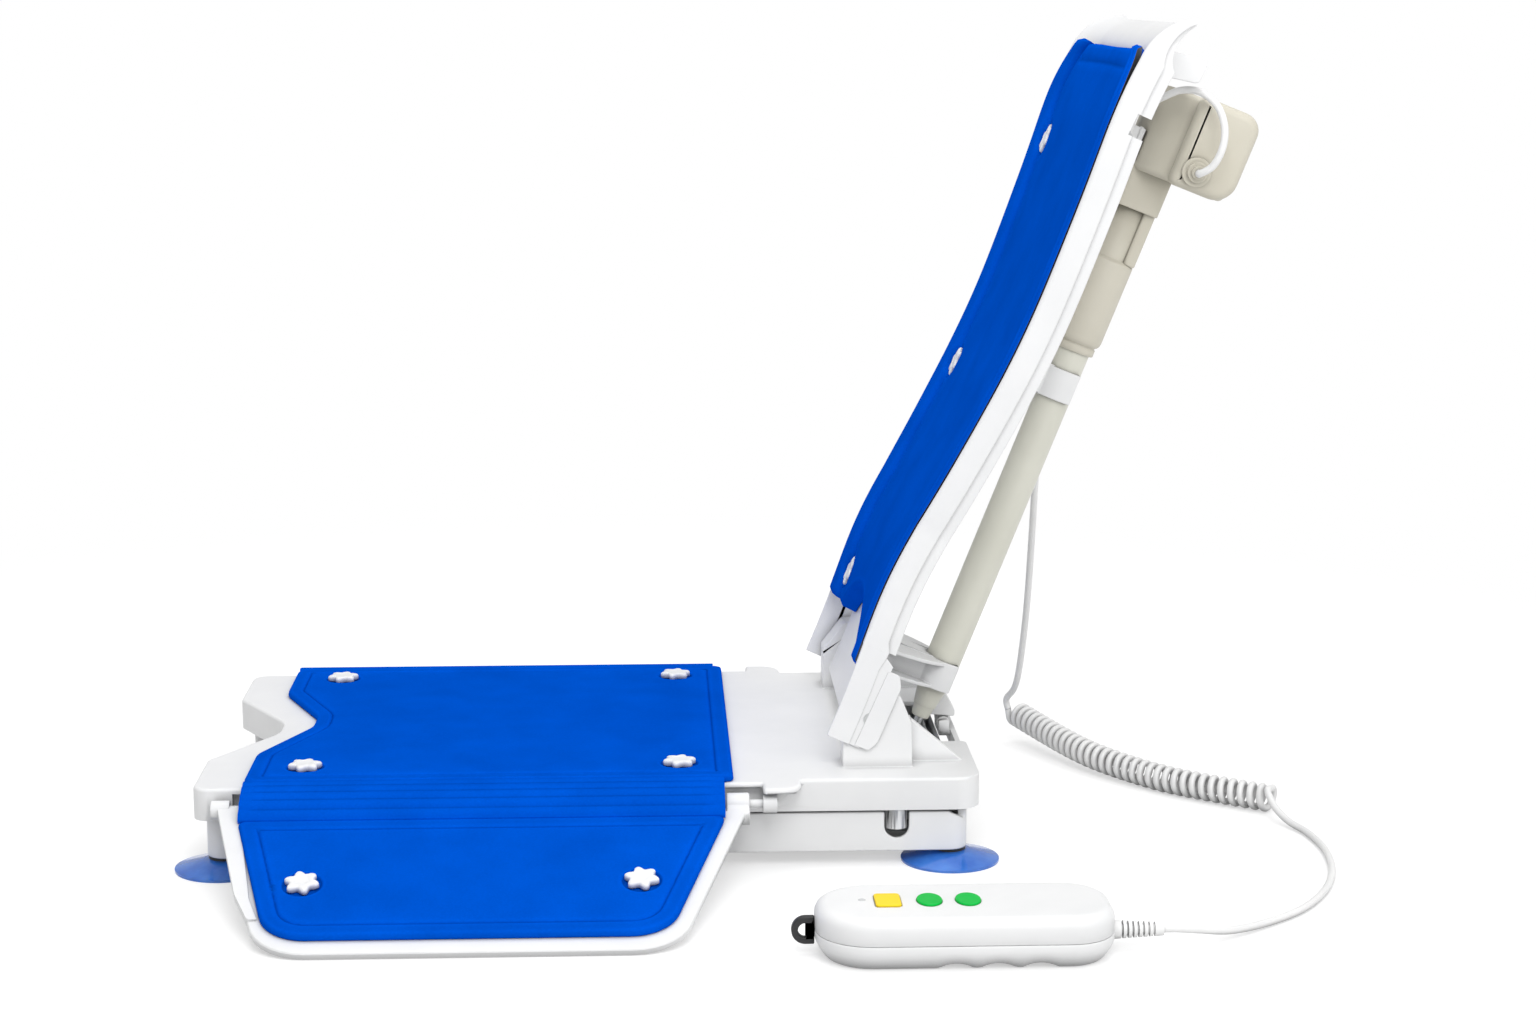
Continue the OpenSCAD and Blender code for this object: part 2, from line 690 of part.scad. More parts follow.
module upper_rails() {
    low = seat_pivot_z + block_h / 2 + run_gap;
    color(steel) both() {
        slot_rail(upper_block_y, seat_pivot_z);
        for (x = [rail_front, rail_rear - 20])
            box(x, x + 20, upper_block_y, upper_block_y + block_w, low + 1, plate_low);
    }
}
function seat_cover_half(i) = [[cover_rear - i, front_w / 2 - 2 - i, 5], [-cover_front + i,
    front_w / 2 - 2 - i, 8],
    [-cover_front + i, notch_w / 2 + 4 + i * cover_turn, 30],
    [-cover_front + cover_notch + i, notch_floor / 2 + 1 + i * cover_turn, notch_r + 3]];
module pressed_line(z, outer, inner) {
    translate([0, 0, z]) difference() {
        outline(outer, line_depth + 1);
        translate([0, 0, -1]) outline(inner, line_depth + 3);
    }
}
module seat_cover() {
    color(cover_blue) difference() {
        translate([0, 0, seat_top]) outline(both_sides(seat_cover_half(0)), cover_t);
        pressed_line(seat_top + cover_t - line_depth, both_sides(seat_cover_half(line_inset)),
            both_sides(seat_cover_half(line_inset + line_w)));
        both() for (x = [-seat_knob_front, seat_knob_rear]) translate([x, knob_y, seat_top]) knob_hole();
    }
}
// A star knob on a cover: its head, and a stem that goes through the cover and the plate.
knob_sink = 1.5;
module knob_hole() {
    translate([0, 0, -1]) cylinder(r = knob_stem_r + clear_gap, h = cover_t + 2);
    translate([0, 0, cover_t - knob_sink]) cylinder(r = knob_r + 0.7, h = knob_sink + 1);
}
module knob(stack, cover) {
    lobe_r = knob_r * 0.32;
    translate([0, 0, cover - knob_sink + clear_gap]) {
        cylinder(r = knob_r - lobe_r, h = knob_h + knob_sink);
        for (a = [0:60:300]) rotate([0, 0, a + 15]) translate([knob_r - lobe_r, 0, 0])
            cylinder(r = lobe_r, h = knob_h + knob_sink - 0.4);
    }
    translate([0, 0, -stack - 2]) cylinder(r = knob_stem_r, h = stack + cover + 2);
    translate([0, 0, -stack - 3]) cylinder(r = knob_stem_r + 2, h = 3 - clear_gap);
}
module seat_knobs() {
    color(white) both() for (x = [-seat_knob_front, seat_knob_rear])
        translate([x, knob_y, seat_top]) knob(plate_t, cover_t);
}
module flap_hinge_rods() {
    color(white) both() x_rod(hinge_at, hinge_z, rod_r, front_lug[0], ear_lug[1] + 1);
}
module recline_pins() {
    color(steel) both() y_rod(recline_x, recline_z, recline_pin_r, post_out - post_t,
        back_half_w - 1 - clear_gap);
}

// Side flaps, drawn flat with X along the hinge and Y out from it, then set at their slope.
module on_flap() {
    translate([0, hinge_at, hinge_z]) rotate([-flap_drop, 0, 0]) children();
}
function flap_outline(i) =
    let (f = flap_front_slant / flap_len, r = flap_rear_slant / flap_len, s0 = max(flap_start, i * 2))
    [[flap_rear - r * s0 - i, s0, 3], [flap_rear - flap_rear_slant - i / 2, flap_len - i,
        flap_corner_r - i * 0.6],
     [-flap_front + flap_front_slant + i / 2, flap_len - i, flap_corner_r - i * 0.6],
     [-flap_front + f * s0 + i / 2, s0, 3]];
flap_lugs = [[-250, -232], [-80, -52], [100, 117]];
module flap_plate() {
    color(white) on_flap() difference() {
        union() {
            translate([0, 0, -flap_t / 2]) outline(flap_outline(0), flap_t);
            for (g = flap_lugs) {
                x_rod(0, 0, knuckle_r, g[0], g[1]);
                box(g[0], g[1], 0, flap_start + 4, -knuckle_r, flap_t / 2);
            }
        }
        for (g = flap_lugs) x_rod(0, 0, rod_r + run_gap, g[0] - 1, g[1] + 1);
        for (x = [-flap_knob_front, flap_knob_rear])
            translate([x, flap_knob_s, -flap_t]) cylinder(r = knob_stem_r + run_gap, h = 2 * flap_t);
    }
}
module flap_cover() {
    color(cover_blue) on_flap() translate([0, 0, flap_t / 2]) difference() {
        outline(flap_outline(flap_border), cover_t);
        pressed_line(cover_t - line_depth, flap_outline(flap_border + line_inset),
            flap_outline(flap_border + line_inset + line_w));
        for (x = [-flap_knob_front, flap_knob_rear]) translate([x, flap_knob_s, 0]) knob_hole();
    }
}
module flap_knobs() {
    color(white) on_flap() translate([0, 0, flap_t / 2])
        for (x = [-flap_knob_front, flap_knob_rear]) translate([x, flap_knob_s, 0]) knob(flap_t, cover_t);
}
// The ribbed strip of the cover that folds between seat and flap, drawn across and stretched along X.
module fold_strip() {
    a = [front_w / 2 - 0.2 + clear_gap, seat_top + cover_t];
    b = [hinge_at + (flap_border * 2 - clear_gap) * cos(flap_drop)
        + (flap_t / 2 + cover_t) * sin(flap_drop),
        hinge_z - (flap_border * 2 - clear_gap) * sin(flap_drop)
            + (flap_t / 2 + cover_t) * cos(flap_drop)];
    n = [b[1] - a[1], a[0] - b[0]] / norm(b - a);
    steps = fold_ribs * 4;
    top = [for (k = [0:steps]) let (t = k / steps)
        a + (b - a) * t - n * (4.5 * sin(180 * t) + 0.7 * (1 - cos(360 * fold_ribs * t)) / 2)];
    low = [for (k = [steps:-4:0]) let (t = k / steps) a + (b - a) * t - n * 4.5 * sin(180 * t) + n * 3];
    color(cover_blue) translate([-cover_front + 1, 0, 0]) rotate([90, 0, 90])
        linear_extrude(cover_front + cover_rear - 8) polygon(concat(top, low));
}
module flap_plate_far() { flap_plate(); }
module flap_cover_far() { flap_cover(); }
module flap_knobs_far() { flap_knobs(); }
module fold_strip_far() { fold_strip(); }
module flap_plate_near() { mirror([0, 1, 0]) flap_plate(); }
module flap_cover_near() { mirror([0, 1, 0]) flap_cover(); }
module flap_knobs_near() { mirror([0, 1, 0]) flap_knobs(); }
module fold_strip_near() { mirror([0, 1, 0]) fold_strip(); }

// Release lever behind the drive, on a pin that the rear wall carries.
module release_lever() {
    y0 = lever_y[0];
    w = lever_y[1] - lever_y[0];
    color(white) difference() {
        union() {
            y_rod(lever_x, lever_z, 5, y0, y0 + w);
            side_plate([[lever_x - 4, lever_z, 1], [lever_x + 4, lever_z, 1], [lever_x + 4,
                lever_z + 14, 1],
                [lever_x - 4, lever_z + 14, 1]], y0 + 4, w - 8);
            side_plate([[lever_x - 14, lever_z + 7, 1.5], [lever_x + 9, lever_z + 5, 1.5],
                [lever_x + 9, lever_z + 10, 2], [lever_x + 1, lever_z + 25, 3], [lever_x - 5,
                    lever_z + 25, 3],
                [lever_x - 13, lever_z + 12, 2]], y0, w);
        }
        y_rod(lever_x, lever_z, 2.5 + run_gap, y0 - 1, y0 + w + 1);
    }
}
// Backrest, drawn upright from the rim's lower end: X is depth, Z is the way up the back.
module on_back() {
    translate([back_x, 0, back_z]) rotate([0, back_tilt, 0]) children();
}
function back_bow(u) = -low_bow * bump((u - 122) / 70) + mid_dip * bump((u - 325) / 95)
    - high_bow * bump((u - 512) / 55);
function back_w(u) = back_half_w + back_flare * pow(min(1, max(0, (u - 170) / (back_len - 200))), 0.8);
function back_knob_y(u) = back_w(u) - back_knob_in;
// A point of a cross section at depth d and half width y, at height u or turned into the roll by angle a.
function on_path(u, a, d, y) =
    a <= 0 ? [back_bow(u) + d, y, u]
    : [back_bow(back_len) + roll_r - (roll_r - d) * cos(a), y, back_len + (roll_r - d) * sin(a)];
back_step = 22;
roll_steps = 7;
roll_angle = 66;
function stations(u0, a1) =
    concat([[u0, 0]], [for (i = [floor((back_len - u0 - 2) / back_step):-1:0]) [back_len
        - i * back_step, 0]],
        [for (i = [1:roll_steps]) [back_len, a1 * i / roll_steps]]);
function shell_half(w, k) =
    [[0, w - 2.4], [1.1, w - 0.6], [3, w], [rim_depth, w], [rim_depth, w - 5], [rim_depth + band_depth,
        w - 5],
     [rim_depth + band_depth, w - 8.5], [tray_floor_t + 6, w - 10], [tray_depth + tray_floor_t, w - 32]]
         * k;
function shell_front(w) = [[tray_depth, w - 34], [6, w - 14], [1, w - 4.4]];
function shrink(p, k) = [for (q = p) [q[0] * k, q[1]]];
function shell_ring(u, a) =
    let (t = a / roll_angle, w = back_w(u) - 14 * (1 - sqrt(1 - pow(0.95 * t, 2))), k = 1 - 0.8 * t,
        outer = shrink(shell_half(w, 1), k), front = shrink(shell_front(w), k), n = len(outer) - 1)
    concat([for (q = outer) on_path(u, a, q[0], q[1])],
        [for (i = [n:-1:0]) on_path(u, a, outer[i][0], -outer[i][1])],
        [for (i = [2:-1:0]) on_path(u, a, front[i][0], -front[i][1])],
        [for (q = front) on_path(u, a, q[0], q[1])]);
shell_end_half = [[23, 0, 1], [23, 1, 2], [23, 2, 4], [2, 3, 4], [23, 4, 7], [4, 5, 6], [4, 6, 7], [7,
    22, 23],
    [7, 8, 22], [8, 21, 22]];
shell_ends = concat(shell_end_half, [[8, 9, 20], [8, 20, 21]],
    [for (f = shell_end_half) [for (j = [2:-1:0]) f[j] < 18 ? 17 - f[j] : 41 - f[j]]]);
post_cut_in = post_out - post_t - 8;
post_cut_up = 74;
pin_u = (recline_x - back_x) * sin(back_tilt) + (recline_z - back_z) * cos(back_tilt);
pin_d = (recline_x - back_x) * cos(back_tilt) - (recline_z - back_z) * sin(back_tilt);
back_knob_u = [82, 272, 465];
slot_u = 488;
// Points down the back at depth d, from height u0 to u1.
function bow_line(d, u0, u1) = [for (i = [0:6]) let (u = u0 + (u1 - u0) * i / 6) [back_bow(u) + d, u]];
module back_plate(pts, y0, y1) {
    translate([0, y1, 0]) rotate([90, 0, 0]) linear_extrude(y1 - y0) polygon(pts);
}
// The shell starts above the posts; a tongue goes down between them and a flange beside each.
module backrest_shell() {
    inner = post_out + 0.5;
    lap = post_cut_up + 10;
    color(white) on_back() difference() {
        union() {
            skin([for (s = stations(post_cut_up, roll_angle)) shell_ring(s[0], s[1])], shell_ends);
            back_plate(concat(bow_line(tray_depth + 0.4, 0, lap),
                bow_line(tray_depth + tray_floor_t - 0.4, lap, 0)),
                -post_cut_in, post_cut_in);
            both() back_plate(concat(bow_line(0.3, 0, lap), [[rim_depth - 6, lap], [rim_depth - 1,
                post_cut_up],
                [31, 62], [36, 54], [37, 9], [33, 1]]), inner, back_half_w - 0.05);
        }
        both() y_rod(pin_d, pin_u, recline_pin_r + run_gap, inner - 1, back_half_w - 1);
        for (u = back_knob_u) both() translate([tray_depth + back_bow(u) - 6, back_knob_y(u), u])
            rotate([0, 90, 0]) cylinder(r = knob_stem_r + run_gap, h = tray_floor_t + 14);
        both() box(rim_depth - 3, rim_depth + band_depth + 1, back_w(slot_u) - 20, back_w(slot_u) + 2,
            slot_u, slot_u + 16);
    }
}
function cover_front_half(w) =
    let (f = tray_depth - back_cover_t)
    [[f, 12], [f - 0.8, w - 72], [f - 0.6, w - 58], [f - 0.6, w - 40], [f + 0.6, w - 34], [f - 4, w - 28],
     [f - 6.5, w - 21], [f - 7.2, w - 15], [f - 6.2, w - 12], [f - 6.5, w - 9.5], [f - 5.4, w - 6.5],
         [f - 3.7, w - 6]];
function cover_back_half(w) = [[4.6, w - 13.2], [tray_depth - clear_gap, w - 35],
    [tray_depth - clear_gap, 12]];
function cover_ring(u, a) =
    let (t = max(0, (u + a * roll_r * PI / 180 - 495) / 55),
        w = back_w(u) - 42 * (1 - sqrt(1 - pow(0.97 * t, 2))), front = cover_front_half(w),
        back = shrink(cover_back_half(w), 1 - 0.8 * a / roll_angle), half = concat(front, back),
            n = len(half) - 1)
    concat([for (q = half) on_path(u, a, q[0], q[1])],
        [for (i = [n:-1:0]) on_path(u, a, half[i][0], -half[i][1])]);
cover_end_half = concat([[0, 1, 14], [1, 13, 14], [1, 2, 13], [2, 3, 13], [3, 4, 13], [4, 12, 13]],
    [for (j = [4:10]) [j, j + 1, 12]]);
cover_ends = concat(cover_end_half, [[0, 14, 15], [0, 15, 29]],
    [for (f = cover_end_half) [for (j = [2:-1:0]) 29 - f[j]]]);
cover_low_u = 56;
back_knob_drop = 2;
arch_half = 80;
arch_wide = arch_half + 4;
module backrest_cover() {
    arch_r = (pow(arch_half, 2) + pow(arch_h, 2)) / (2 * arch_h);
    color(cover_blue) on_back() difference() {
        skin([for (s = stations(cover_low_u, 12)) cover_ring(s[0], s[1])], cover_ends);
        translate([-30, 0, cover_low_u]) rotate([90, 0, 90]) linear_extrude(60)
            polygon(concat([[arch_wide, -9],
            [-arch_wide, -9]], [for (i = [0:16]) let (y = arch_wide * (i / 8 - 1))
            [y, sqrt(pow(arch_r, 2) - pow(y, 2)) - arch_r + arch_h]]));
        for (u = back_knob_u) both() translate([tray_depth + back_bow(u), back_knob_y(u), u]) rotate([0,
            -90, 0]) {
            translate([0, 0, -1]) cylinder(r = knob_stem_r + clear_gap, h = back_cover_t + 8);
            translate([0, 0, back_cover_t - knob_sink - back_knob_drop]) cylinder(r = knob_r + 0.7,
                h = 14);
        }
    }
}
module backrest_knobs() {
    color(white) on_back() for (u = back_knob_u) both() translate([tray_depth + back_bow(u),
        back_knob_y(u), u])
        rotate([0, -90, 0]) knob(tray_floor_t + 1, back_cover_t - back_knob_drop);
}

// Drive on the back of the backrest, drawn upright from the nose's lower end.
module on_drive() {
    translate([nose_x, 0, nose_z]) rotate([0, drive_tilt, 0]) children();
}
function drive_to_back(x, z) =
    let (a = drive_tilt - back_tilt, dx = nose_x - back_x, dz = nose_z - back_z,
        ox = dx * cos(back_tilt) - dz * sin(back_tilt), oz = dx * sin(back_tilt) + dz * cos(back_tilt))
    [ox + x * cos(a) + z * sin(a), oz - x * sin(a) + z * cos(a)];
// An open clip round the tube on an arm from the backrest's floor; z is its place along the tube.
// Two shelves of the given half widths join the arm and the clip.
module tube_clip(z, h, foot_half, shelves = []) {
    mid = drive_to_back(0, z + h / 2);
    foot = tray_depth + tray_floor_t + back_bow(mid[1]) + 1.2;
    on_drive() translate([0, 0, z]) difference() {
        union() {
            cylinder(r = tube_r + 4, h = h);
            translate([-tube_r - 16, -11, 0]) cube([16, 22, h]);
            for (i = [0:1:len(shelves) - 1]) translate([0, 0, i * (h - 3)]) linear_extrude(3)
                polygon([for (k = [0:24]) let (a = k * 7.5 - 90)
                    [foot - mid[0] + 1.5 + (mid[0] - foot + 4) * cos(a), shelves[i] * sin(a)]]);
        }
        translate([0, 0, -1]) cylinder(r = tube_r + run_gap, h = h + 2);
        translate([6, -tube_r + 1, -1]) cube([40, 2 * tube_r - 2, h + 2]);
    }
    on_back() difference() {
        box(foot, mid[0] - 6, -12, 12, mid[1] - h / 2, mid[1] + h / 2);
        translate([mid[0], 0, mid[1] - h]) cylinder(r = tube_r + 2, h = 2 * h);
    }
    on_back() box(foot, foot + 4, -foot_half, foot_half, mid[1] - h / 2, mid[1] + h / 2);
}
clip_low_z = nose_len - 3;
clip_high_z = 272;
hook_z = clip_high_z + 12;
module tube_clip_lower() {
    color(white) tube_clip(clip_low_z, 23, 46, [34, 44]);
}
module tube_clip_upper() {
    color(white) {
        tube_clip(clip_high_z, 24, 22);
        on_drive() difference() {
            union() {
                translate([0, 0, hook_z - 5]) rotate([0, 0, 90]) translate([tube_r + 2, -3, 0]) cube([9,
                    6, 10]);
                translate([0, 27, hook_z - 5]) cylinder(r = cord_d / 2 + 3, h = 10);
            }
            translate([0, 27, hook_z - 6]) cylinder(r = cord_d / 2 + 0.25, h = 12);
        }
    }
}
gear_half = 19;
module gear_housing() {
    color(beige) on_drive() difference() {
        union() {
            translate([0, 0, sleeve_z]) cylinder(r = tube_r + 2, h = 8);
            translate([0, 0, sleeve_z + 6]) outline([[gear_half, -22, 6], [gear_half, 22, 6],
                [-gear_half + 2, 22, 6], [-gear_half + 2, -22, 6]], motor_z - sleeve_z - 6);
        }
        translate([0, 0, sleeve_z - 1]) cylinder(r = tube_r + run_gap, h = 31);
        translate([0, 0, sleeve_z + 20]) cylinder(r = tube_r - 2, h = motor_z - sleeve_z);
        box(-gear_half, gear_half - 6, -23, -20.5, sleeve_z + 62, motor_z - 30);
    }
}
module motor_housing() {
    color(beige) on_drive() difference() {
        translate([0, 0, motor_z]) outline([[motor_back, -motor_w / 2, 6], [motor_back, motor_w / 2, 14],
            [-motor_front, motor_w / 2, 12], [-motor_front, -motor_w / 2, 12]], motor_h);
        translate([0, 0, motor_z + 3]) outline([[motor_back - 3, -motor_w / 2 - 1, 0], [motor_back - 3,
            motor_w / 2 - 3, 10],
            [-motor_front + 3, motor_w / 2 - 3, 9], [-motor_front + 3, -motor_w / 2 - 1, 0]],
                motor_h - 6);
        translate([0, 0, motor_z - 1]) cylinder(r = 9, h = 6);
    }
}
socket_x = 23;
socket_z = motor_z + 14;
module motor_cover() {
    x0 = 7;
    x1 = motor_back + 2;
    z0 = motor_z - 1;
    z1 = motor_z + motor_h + 1;
    y0 = -motor_w / 2 - motor_cover_t;
    color(beige) on_drive() difference() {
        union() {
            side_plate([[x0, z0, 3], [x1, z0, 17], [x1, z1, 14], [x0, z1, 3]], y0,
                motor_cover_t - clear_gap);
            side_plate([[-motor_front + 4, z0 + 5, 6], [x0 + 2, z0 + 5, 0], [x0 + 2, z1 - 5, 0],
                [-motor_front + 4, z1 - 5, 6]],
                -motor_w / 2 - 4, 4 - clear_gap);
        }
        side_plate([[x0 + 3, z0 + 3, 1], [x1 - 3, z0 + 3, 14], [x1 - 3, z1 - 3, 11], [x0 + 3, z1 - 3, 1]],
            y0 + 3, motor_cover_t);
        translate([socket_x, y0 - 1, socket_z]) rotate([-90, 0, 0]) cylinder(r = 4, h = 6);
    }
}
module drive_motor() {
    color(steel) on_drive() {
        translate([motor_back - 25, motor_w / 2 - 8, motor_z + motor_h / 2]) rotate([90, 0,
            0]) cylinder(r = 19, h = 62);
        translate([motor_back - 25, motor_w / 2 - 3 - clear_gap, motor_z + motor_h / 2]) rotate([90, 0,
            0])
            cylinder(r = 8, h = 8);
        translate([motor_back - 25, 0, motor_z + motor_h / 2]) rotate([90, 0, 0]) cylinder(r = 3,
            h = motor_w / 2 - 4);
    }
}
module actuator_tube() {
    color(cream) on_drive() translate([0, 0, nose_len]) difference() {
        cylinder(r = tube_r, h = sleeve_z + 19 - nose_len);
        translate([0, 0, -1]) cylinder(r = tube_r - tube_wall, h = sleeve_z + 25 - nose_len);
    }
}
module tube_nose() {
    color(cream) on_drive() difference() {
        rotate_extrude() polygon([[push_r + run_gap, 0], [6.4, 0], [7, 0.6], [8.3, 9.4], [8.9, 9.8],
            [11.4, 24], [tube_r, nose_len - 3],
            [tube_r, nose_len], [tube_r - tube_wall - run_gap, nose_len], [tube_r - tube_wall - run_gap,
                nose_len + 8],
            [push_r + run_gap, nose_len + 8]]);
    }
}
module lead_screw() {
    color(steel) on_drive() {
        translate([0, 0, 96]) cylinder(r = 2.4, h = motor_z - 96 - 2);
        translate([0, 0, sleeve_z + 30]) cylinder(r = 9, h = 6);
        translate([0, 0, motor_z - 14]) cylinder(r = tube_r - 3, h = 10);
    }
}
// The hollow push tube carries the rod; at rest its end is level with the nose.
module push_tube() {
    color(steel) on_drive() difference() {
        union() {
            cylinder(r = push_r, h = 140);
            translate([0, 0, 132]) cylinder(r = tube_r - tube_wall - clear_gap, h = 8);
        }
        translate([0, 0, -1]) cylinder(r = push_rod_r + run_gap, h = 142);
    }
}
module push_rod() {
    reach = rod_reach - tip_r - clear_gap;
    color(steel) on_drive() {
        difference() {
            translate([0, 0, -reach]) cylinder(r = push_rod_r, h = reach + 110);
            translate([0, 0, 58]) cylinder(r = 2.6, h = 60);
        }
        translate([0, 0, -reach]) sphere(r = tip_r);
    }
}
// Bracket between the backrest's floor and the motor, and the bar behind the rolled top.
module motor_bracket() {
    z = motor_z + 16;
    p = drive_to_back(-motor_front, z);
    foot = tray_depth + tray_floor_t + back_bow(p[1]) + 1.2;
    color(white) on_back() {
        both() box(foot, p[0] - 2.2, 14, 18, p[1] - 12, p[1] + 14);
        box(foot, foot + 3, -20, 20, p[1] - 14, p[1] + 16);
    }
    color(white) on_drive() box(-motor_front - 4, -motor_front, -20, 20, z - 10, z + 14);
}
bar_u = 552;
bar_d = 50;
module stow_bar() {
    floor_d = tray_depth + tray_floor_t + back_bow(bar_u - 16) + 0.1;
    color(white) on_back() {
        y_rod(bar_d, bar_u, 6, -76, 76);
        for (y = [-84, 72]) {
            side_plate([[floor_d, bar_u - 16, 1], [floor_d, bar_u + 4, 1], [bar_d - 2, bar_u + 9, 3],
                [bar_d + 8, bar_u + 9, 4],
                [bar_d + 8, bar_u - 8, 4]], y, 12);
        }
    }
}

// Cord: socket, routes in round numbers, curly stretch and strain relief.
socket_end = -motor_w / 2 - motor_cover_t - 12;
module cord_socket() {
    color(beige) on_drive() translate([socket_x, -motor_w / 2 - motor_cover_t, socket_z]) rotate([90, 0,
        0]) {
        cylinder(r = 11, h = 4);
        cylinder(r = 7.6, h = 8);
        cylinder(r = 5, h = 12);
        rotate([180, 0, 0]) cylinder(r = 4 - run_gap, h = 3);
    }
}
socket_world = [nose_x + socket_x * cos(drive_tilt) + socket_z * sin(drive_tilt), socket_end,
    nose_z - socket_x * sin(drive_tilt) + socket_z * cos(drive_tilt)];
drive_up = [sin(drive_tilt), 0, cos(drive_tilt)];
hook_world = [nose_x, 27, nose_z] + drive_up * (hook_z - 10);
end_gap = 0.4;
held_route = [[462, -85, 507], [468, -88, 520], [470, -84, 535], [466, -76, 550], [455, -66, 560], [442,
    -57, 561],
    [431, -49, 556], [424, -36, 551], [422, -18, 549], [422, 2, 547], [420, 18, 541], [414, 26, 525],
        [407, 29, 507],
    [401, 30, 486], [391, 30, 452], [380, 29, 420]];
drop_route = [[354, 32, 310], [354, 42, 288], [355, 60, 255], [357, 90, 198], [358, 122, 130], [357,
    150, 76],
    [355, 166, 52]];
tail_route = [[526, -53, 18], [529, -65, 11], [536, -81, 5], [545, -106, 3.2], [548, -150, 3.2], [541,
    -200, 3.2],
    [525, -245, 3.2], [500, -285, 3.2], [468, -315, 3.6], [438, -337, 6], [414, -349, 11]];
coil_axis = [[360, 184, 24], [404, 92, 15], [448, 32, 11.6], [486, -6, 11.6], [531, -40, 11.6]];
relief_len = 35;
cord_exit_z = 14;
relief_end = [hand_x + hand_len + relief_len, hand_y, cord_exit_z];

axis_steps = 40;
axis_path = smooth_route(coil_axis, axis_steps);
// Length of the coil's axis up to each of its points, and the axis at a share s of its whole length.
function run_up(p, i = 1, sums = [0]) =
    i == len(p) ? sums : run_up(p, i + 1, concat(sums, [sums[i - 1] + norm(p[i] - p[i - 1])]));
axis_runs = run_up(axis_path);
axis_long = axis_runs[len(axis_runs) - 1];
function axis_part(s, k) = lookup(s * axis_long, [for (i = [0:len(axis_path) - 1]) [axis_runs[i],
    axis_path[i][k]]]);
function axis_at(s) = [axis_part(s, 0), axis_part(s, 1), axis_part(s, 2)];
function coil_point(s) =
    let (p = axis_at(s), t = unit(axis_at(min(1, s + 0.01)) - axis_at(max(0, s - 0.01))),
        side = unit(cross(t, [0, 0, 1])), up = cross(side, t), a = -360 * (coil_turns + 0.75) * s)
    p + coil_r * (cos(a) * side + sin(a) * up);
coil_rings = ceil((coil_turns + 0.75) * 8);
helix = [for (i = [0:coil_rings]) coil_point(i / coil_rings)];
coil_start_dir = unit(helix[0] - helix[1]);
coil_end_dir = unit(helix[coil_rings] - helix[coil_rings - 1]);
coil_start = helix[0] + coil_start_dir * cord_d;
coil_end = helix[coil_rings] + coil_end_dir * cord_d;
coil_path = concat([coil_start], helix, [coil_end]);
// Least gap of the curly stretch to itself, over points more than half a curl apart.
coil_gap = min([for (i = [0:len(coil_path) - 1], j = [i + 5:1:min(i + 20, len(coil_path) - 1)])
    norm(coil_path[i] - coil_path[j])]) - cord_d;
echo("least gap of the curly cord to itself", coil_gap);

held_path = smooth_route(concat([socket_world - [0, end_gap, 0], socket_world - [0, cord_d, 0]],
    held_route,
    [hook_world + drive_up * 26, hook_world + drive_up * 12, hook_world]), 3);
drop_path = smooth_route(concat([hook_world - drive_up * end_gap, hook_world - drive_up * cord_d],
    drop_route,
    [coil_start + coil_start_dir * 9, coil_start + coil_start_dir * 1]), 4);
tail_path = smooth_route(concat([coil_end + coil_end_dir * end_gap, coil_end + coil_end_dir * cord_d],
    tail_route,
    [relief_end + [9, 0, 0], relief_end + [end_gap, 0, 0]]), 3);
echo("cord lengths", route_length(held_path), route_length(drop_path), route_length(coil_path),
    route_length(tail_path));
module cord(path, sides) {
    color("#f2f2f2") skin(tube_rings(path, cord_d / 2, sides));
}
module cord_held() { cord(held_path, 8); }
module cord_drop() { cord(drop_path, 8); }
module cord_coil() { cord(coil_path, 6); }
module cord_tail() { cord(tail_path, 8); }
relief_ribs = 7;
module strain_relief() {
    color("#f2f2f2") translate([hand_x + hand_len, hand_y, cord_exit_z]) rotate([0, 90, 0]) {
        difference() {
            cylinder(r1 = 6.5, r2 = 4.6, h = relief_len);
            for (i = [0:relief_ribs - 1]) translate([0, 0, 6 + i * 3.6]) difference() {
                cylinder(r = 8, h = 1.4);
                translate([0, 0, -1]) cylinder(r = 3.6, h = 4);
            }
        }
    }
}

// Hand control: two shells, what they hold, buttons and the hanging loop.
hand_r = hand_w / 2 - 4;
function hand_half(i) = [[hand_x + hand_len - i, hand_w / 2 - i, 32 - i], [hand_x + i, hand_w / 2 - i,
    hand_r - i]];
function hand_outline(i) = both_sides(hand_half(i));
button_x = [49, 77, 103];
button_w = 17.4;
button_l = 26;
function oval(a, b) = [for (i = [0:31]) let (t = 360 * i / 32) [a * cos(t), b * sin(t)]];
module at_hand(x) {
    translate([hand_x + x, hand_y, 0]) children();
}
module square_button(grow) {
    w = button_w / 2 + grow;
    l = button_l / 2 + grow;
    polygon(rounded([[w, -l, 3], [w, l, 3], [-w, l, 3], [-w, -l, 3]]));
}
module handset_top() {
    color(white) difference() {
        translate([0, hand_y, hand_seam]) union() {
            outline(hand_outline(0), hand_h - hand_seam - 3);
            translate([0, 0, hand_h - hand_seam - 3]) outline(hand_outline(1), 1.5);
            translate([0, 0, hand_h - hand_seam - 1.5]) outline(hand_outline(2.5), 1.5);
        }
        translate([0, hand_y, hand_seam - 1]) outline(hand_outline(hand_wall),
            hand_h - hand_seam - hand_wall + 1);
        at_hand(button_x[0]) translate([0, 0, hand_h - 6]) linear_extrude(10) square_button(clear_gap);
        for (i = [1, 2]) at_hand(button_x[i]) translate([0, 0, hand_h - 6])
            linear_extrude(10) polygon(oval(button_w / 2 + clear_gap, button_l / 2 + clear_gap));
    }
}
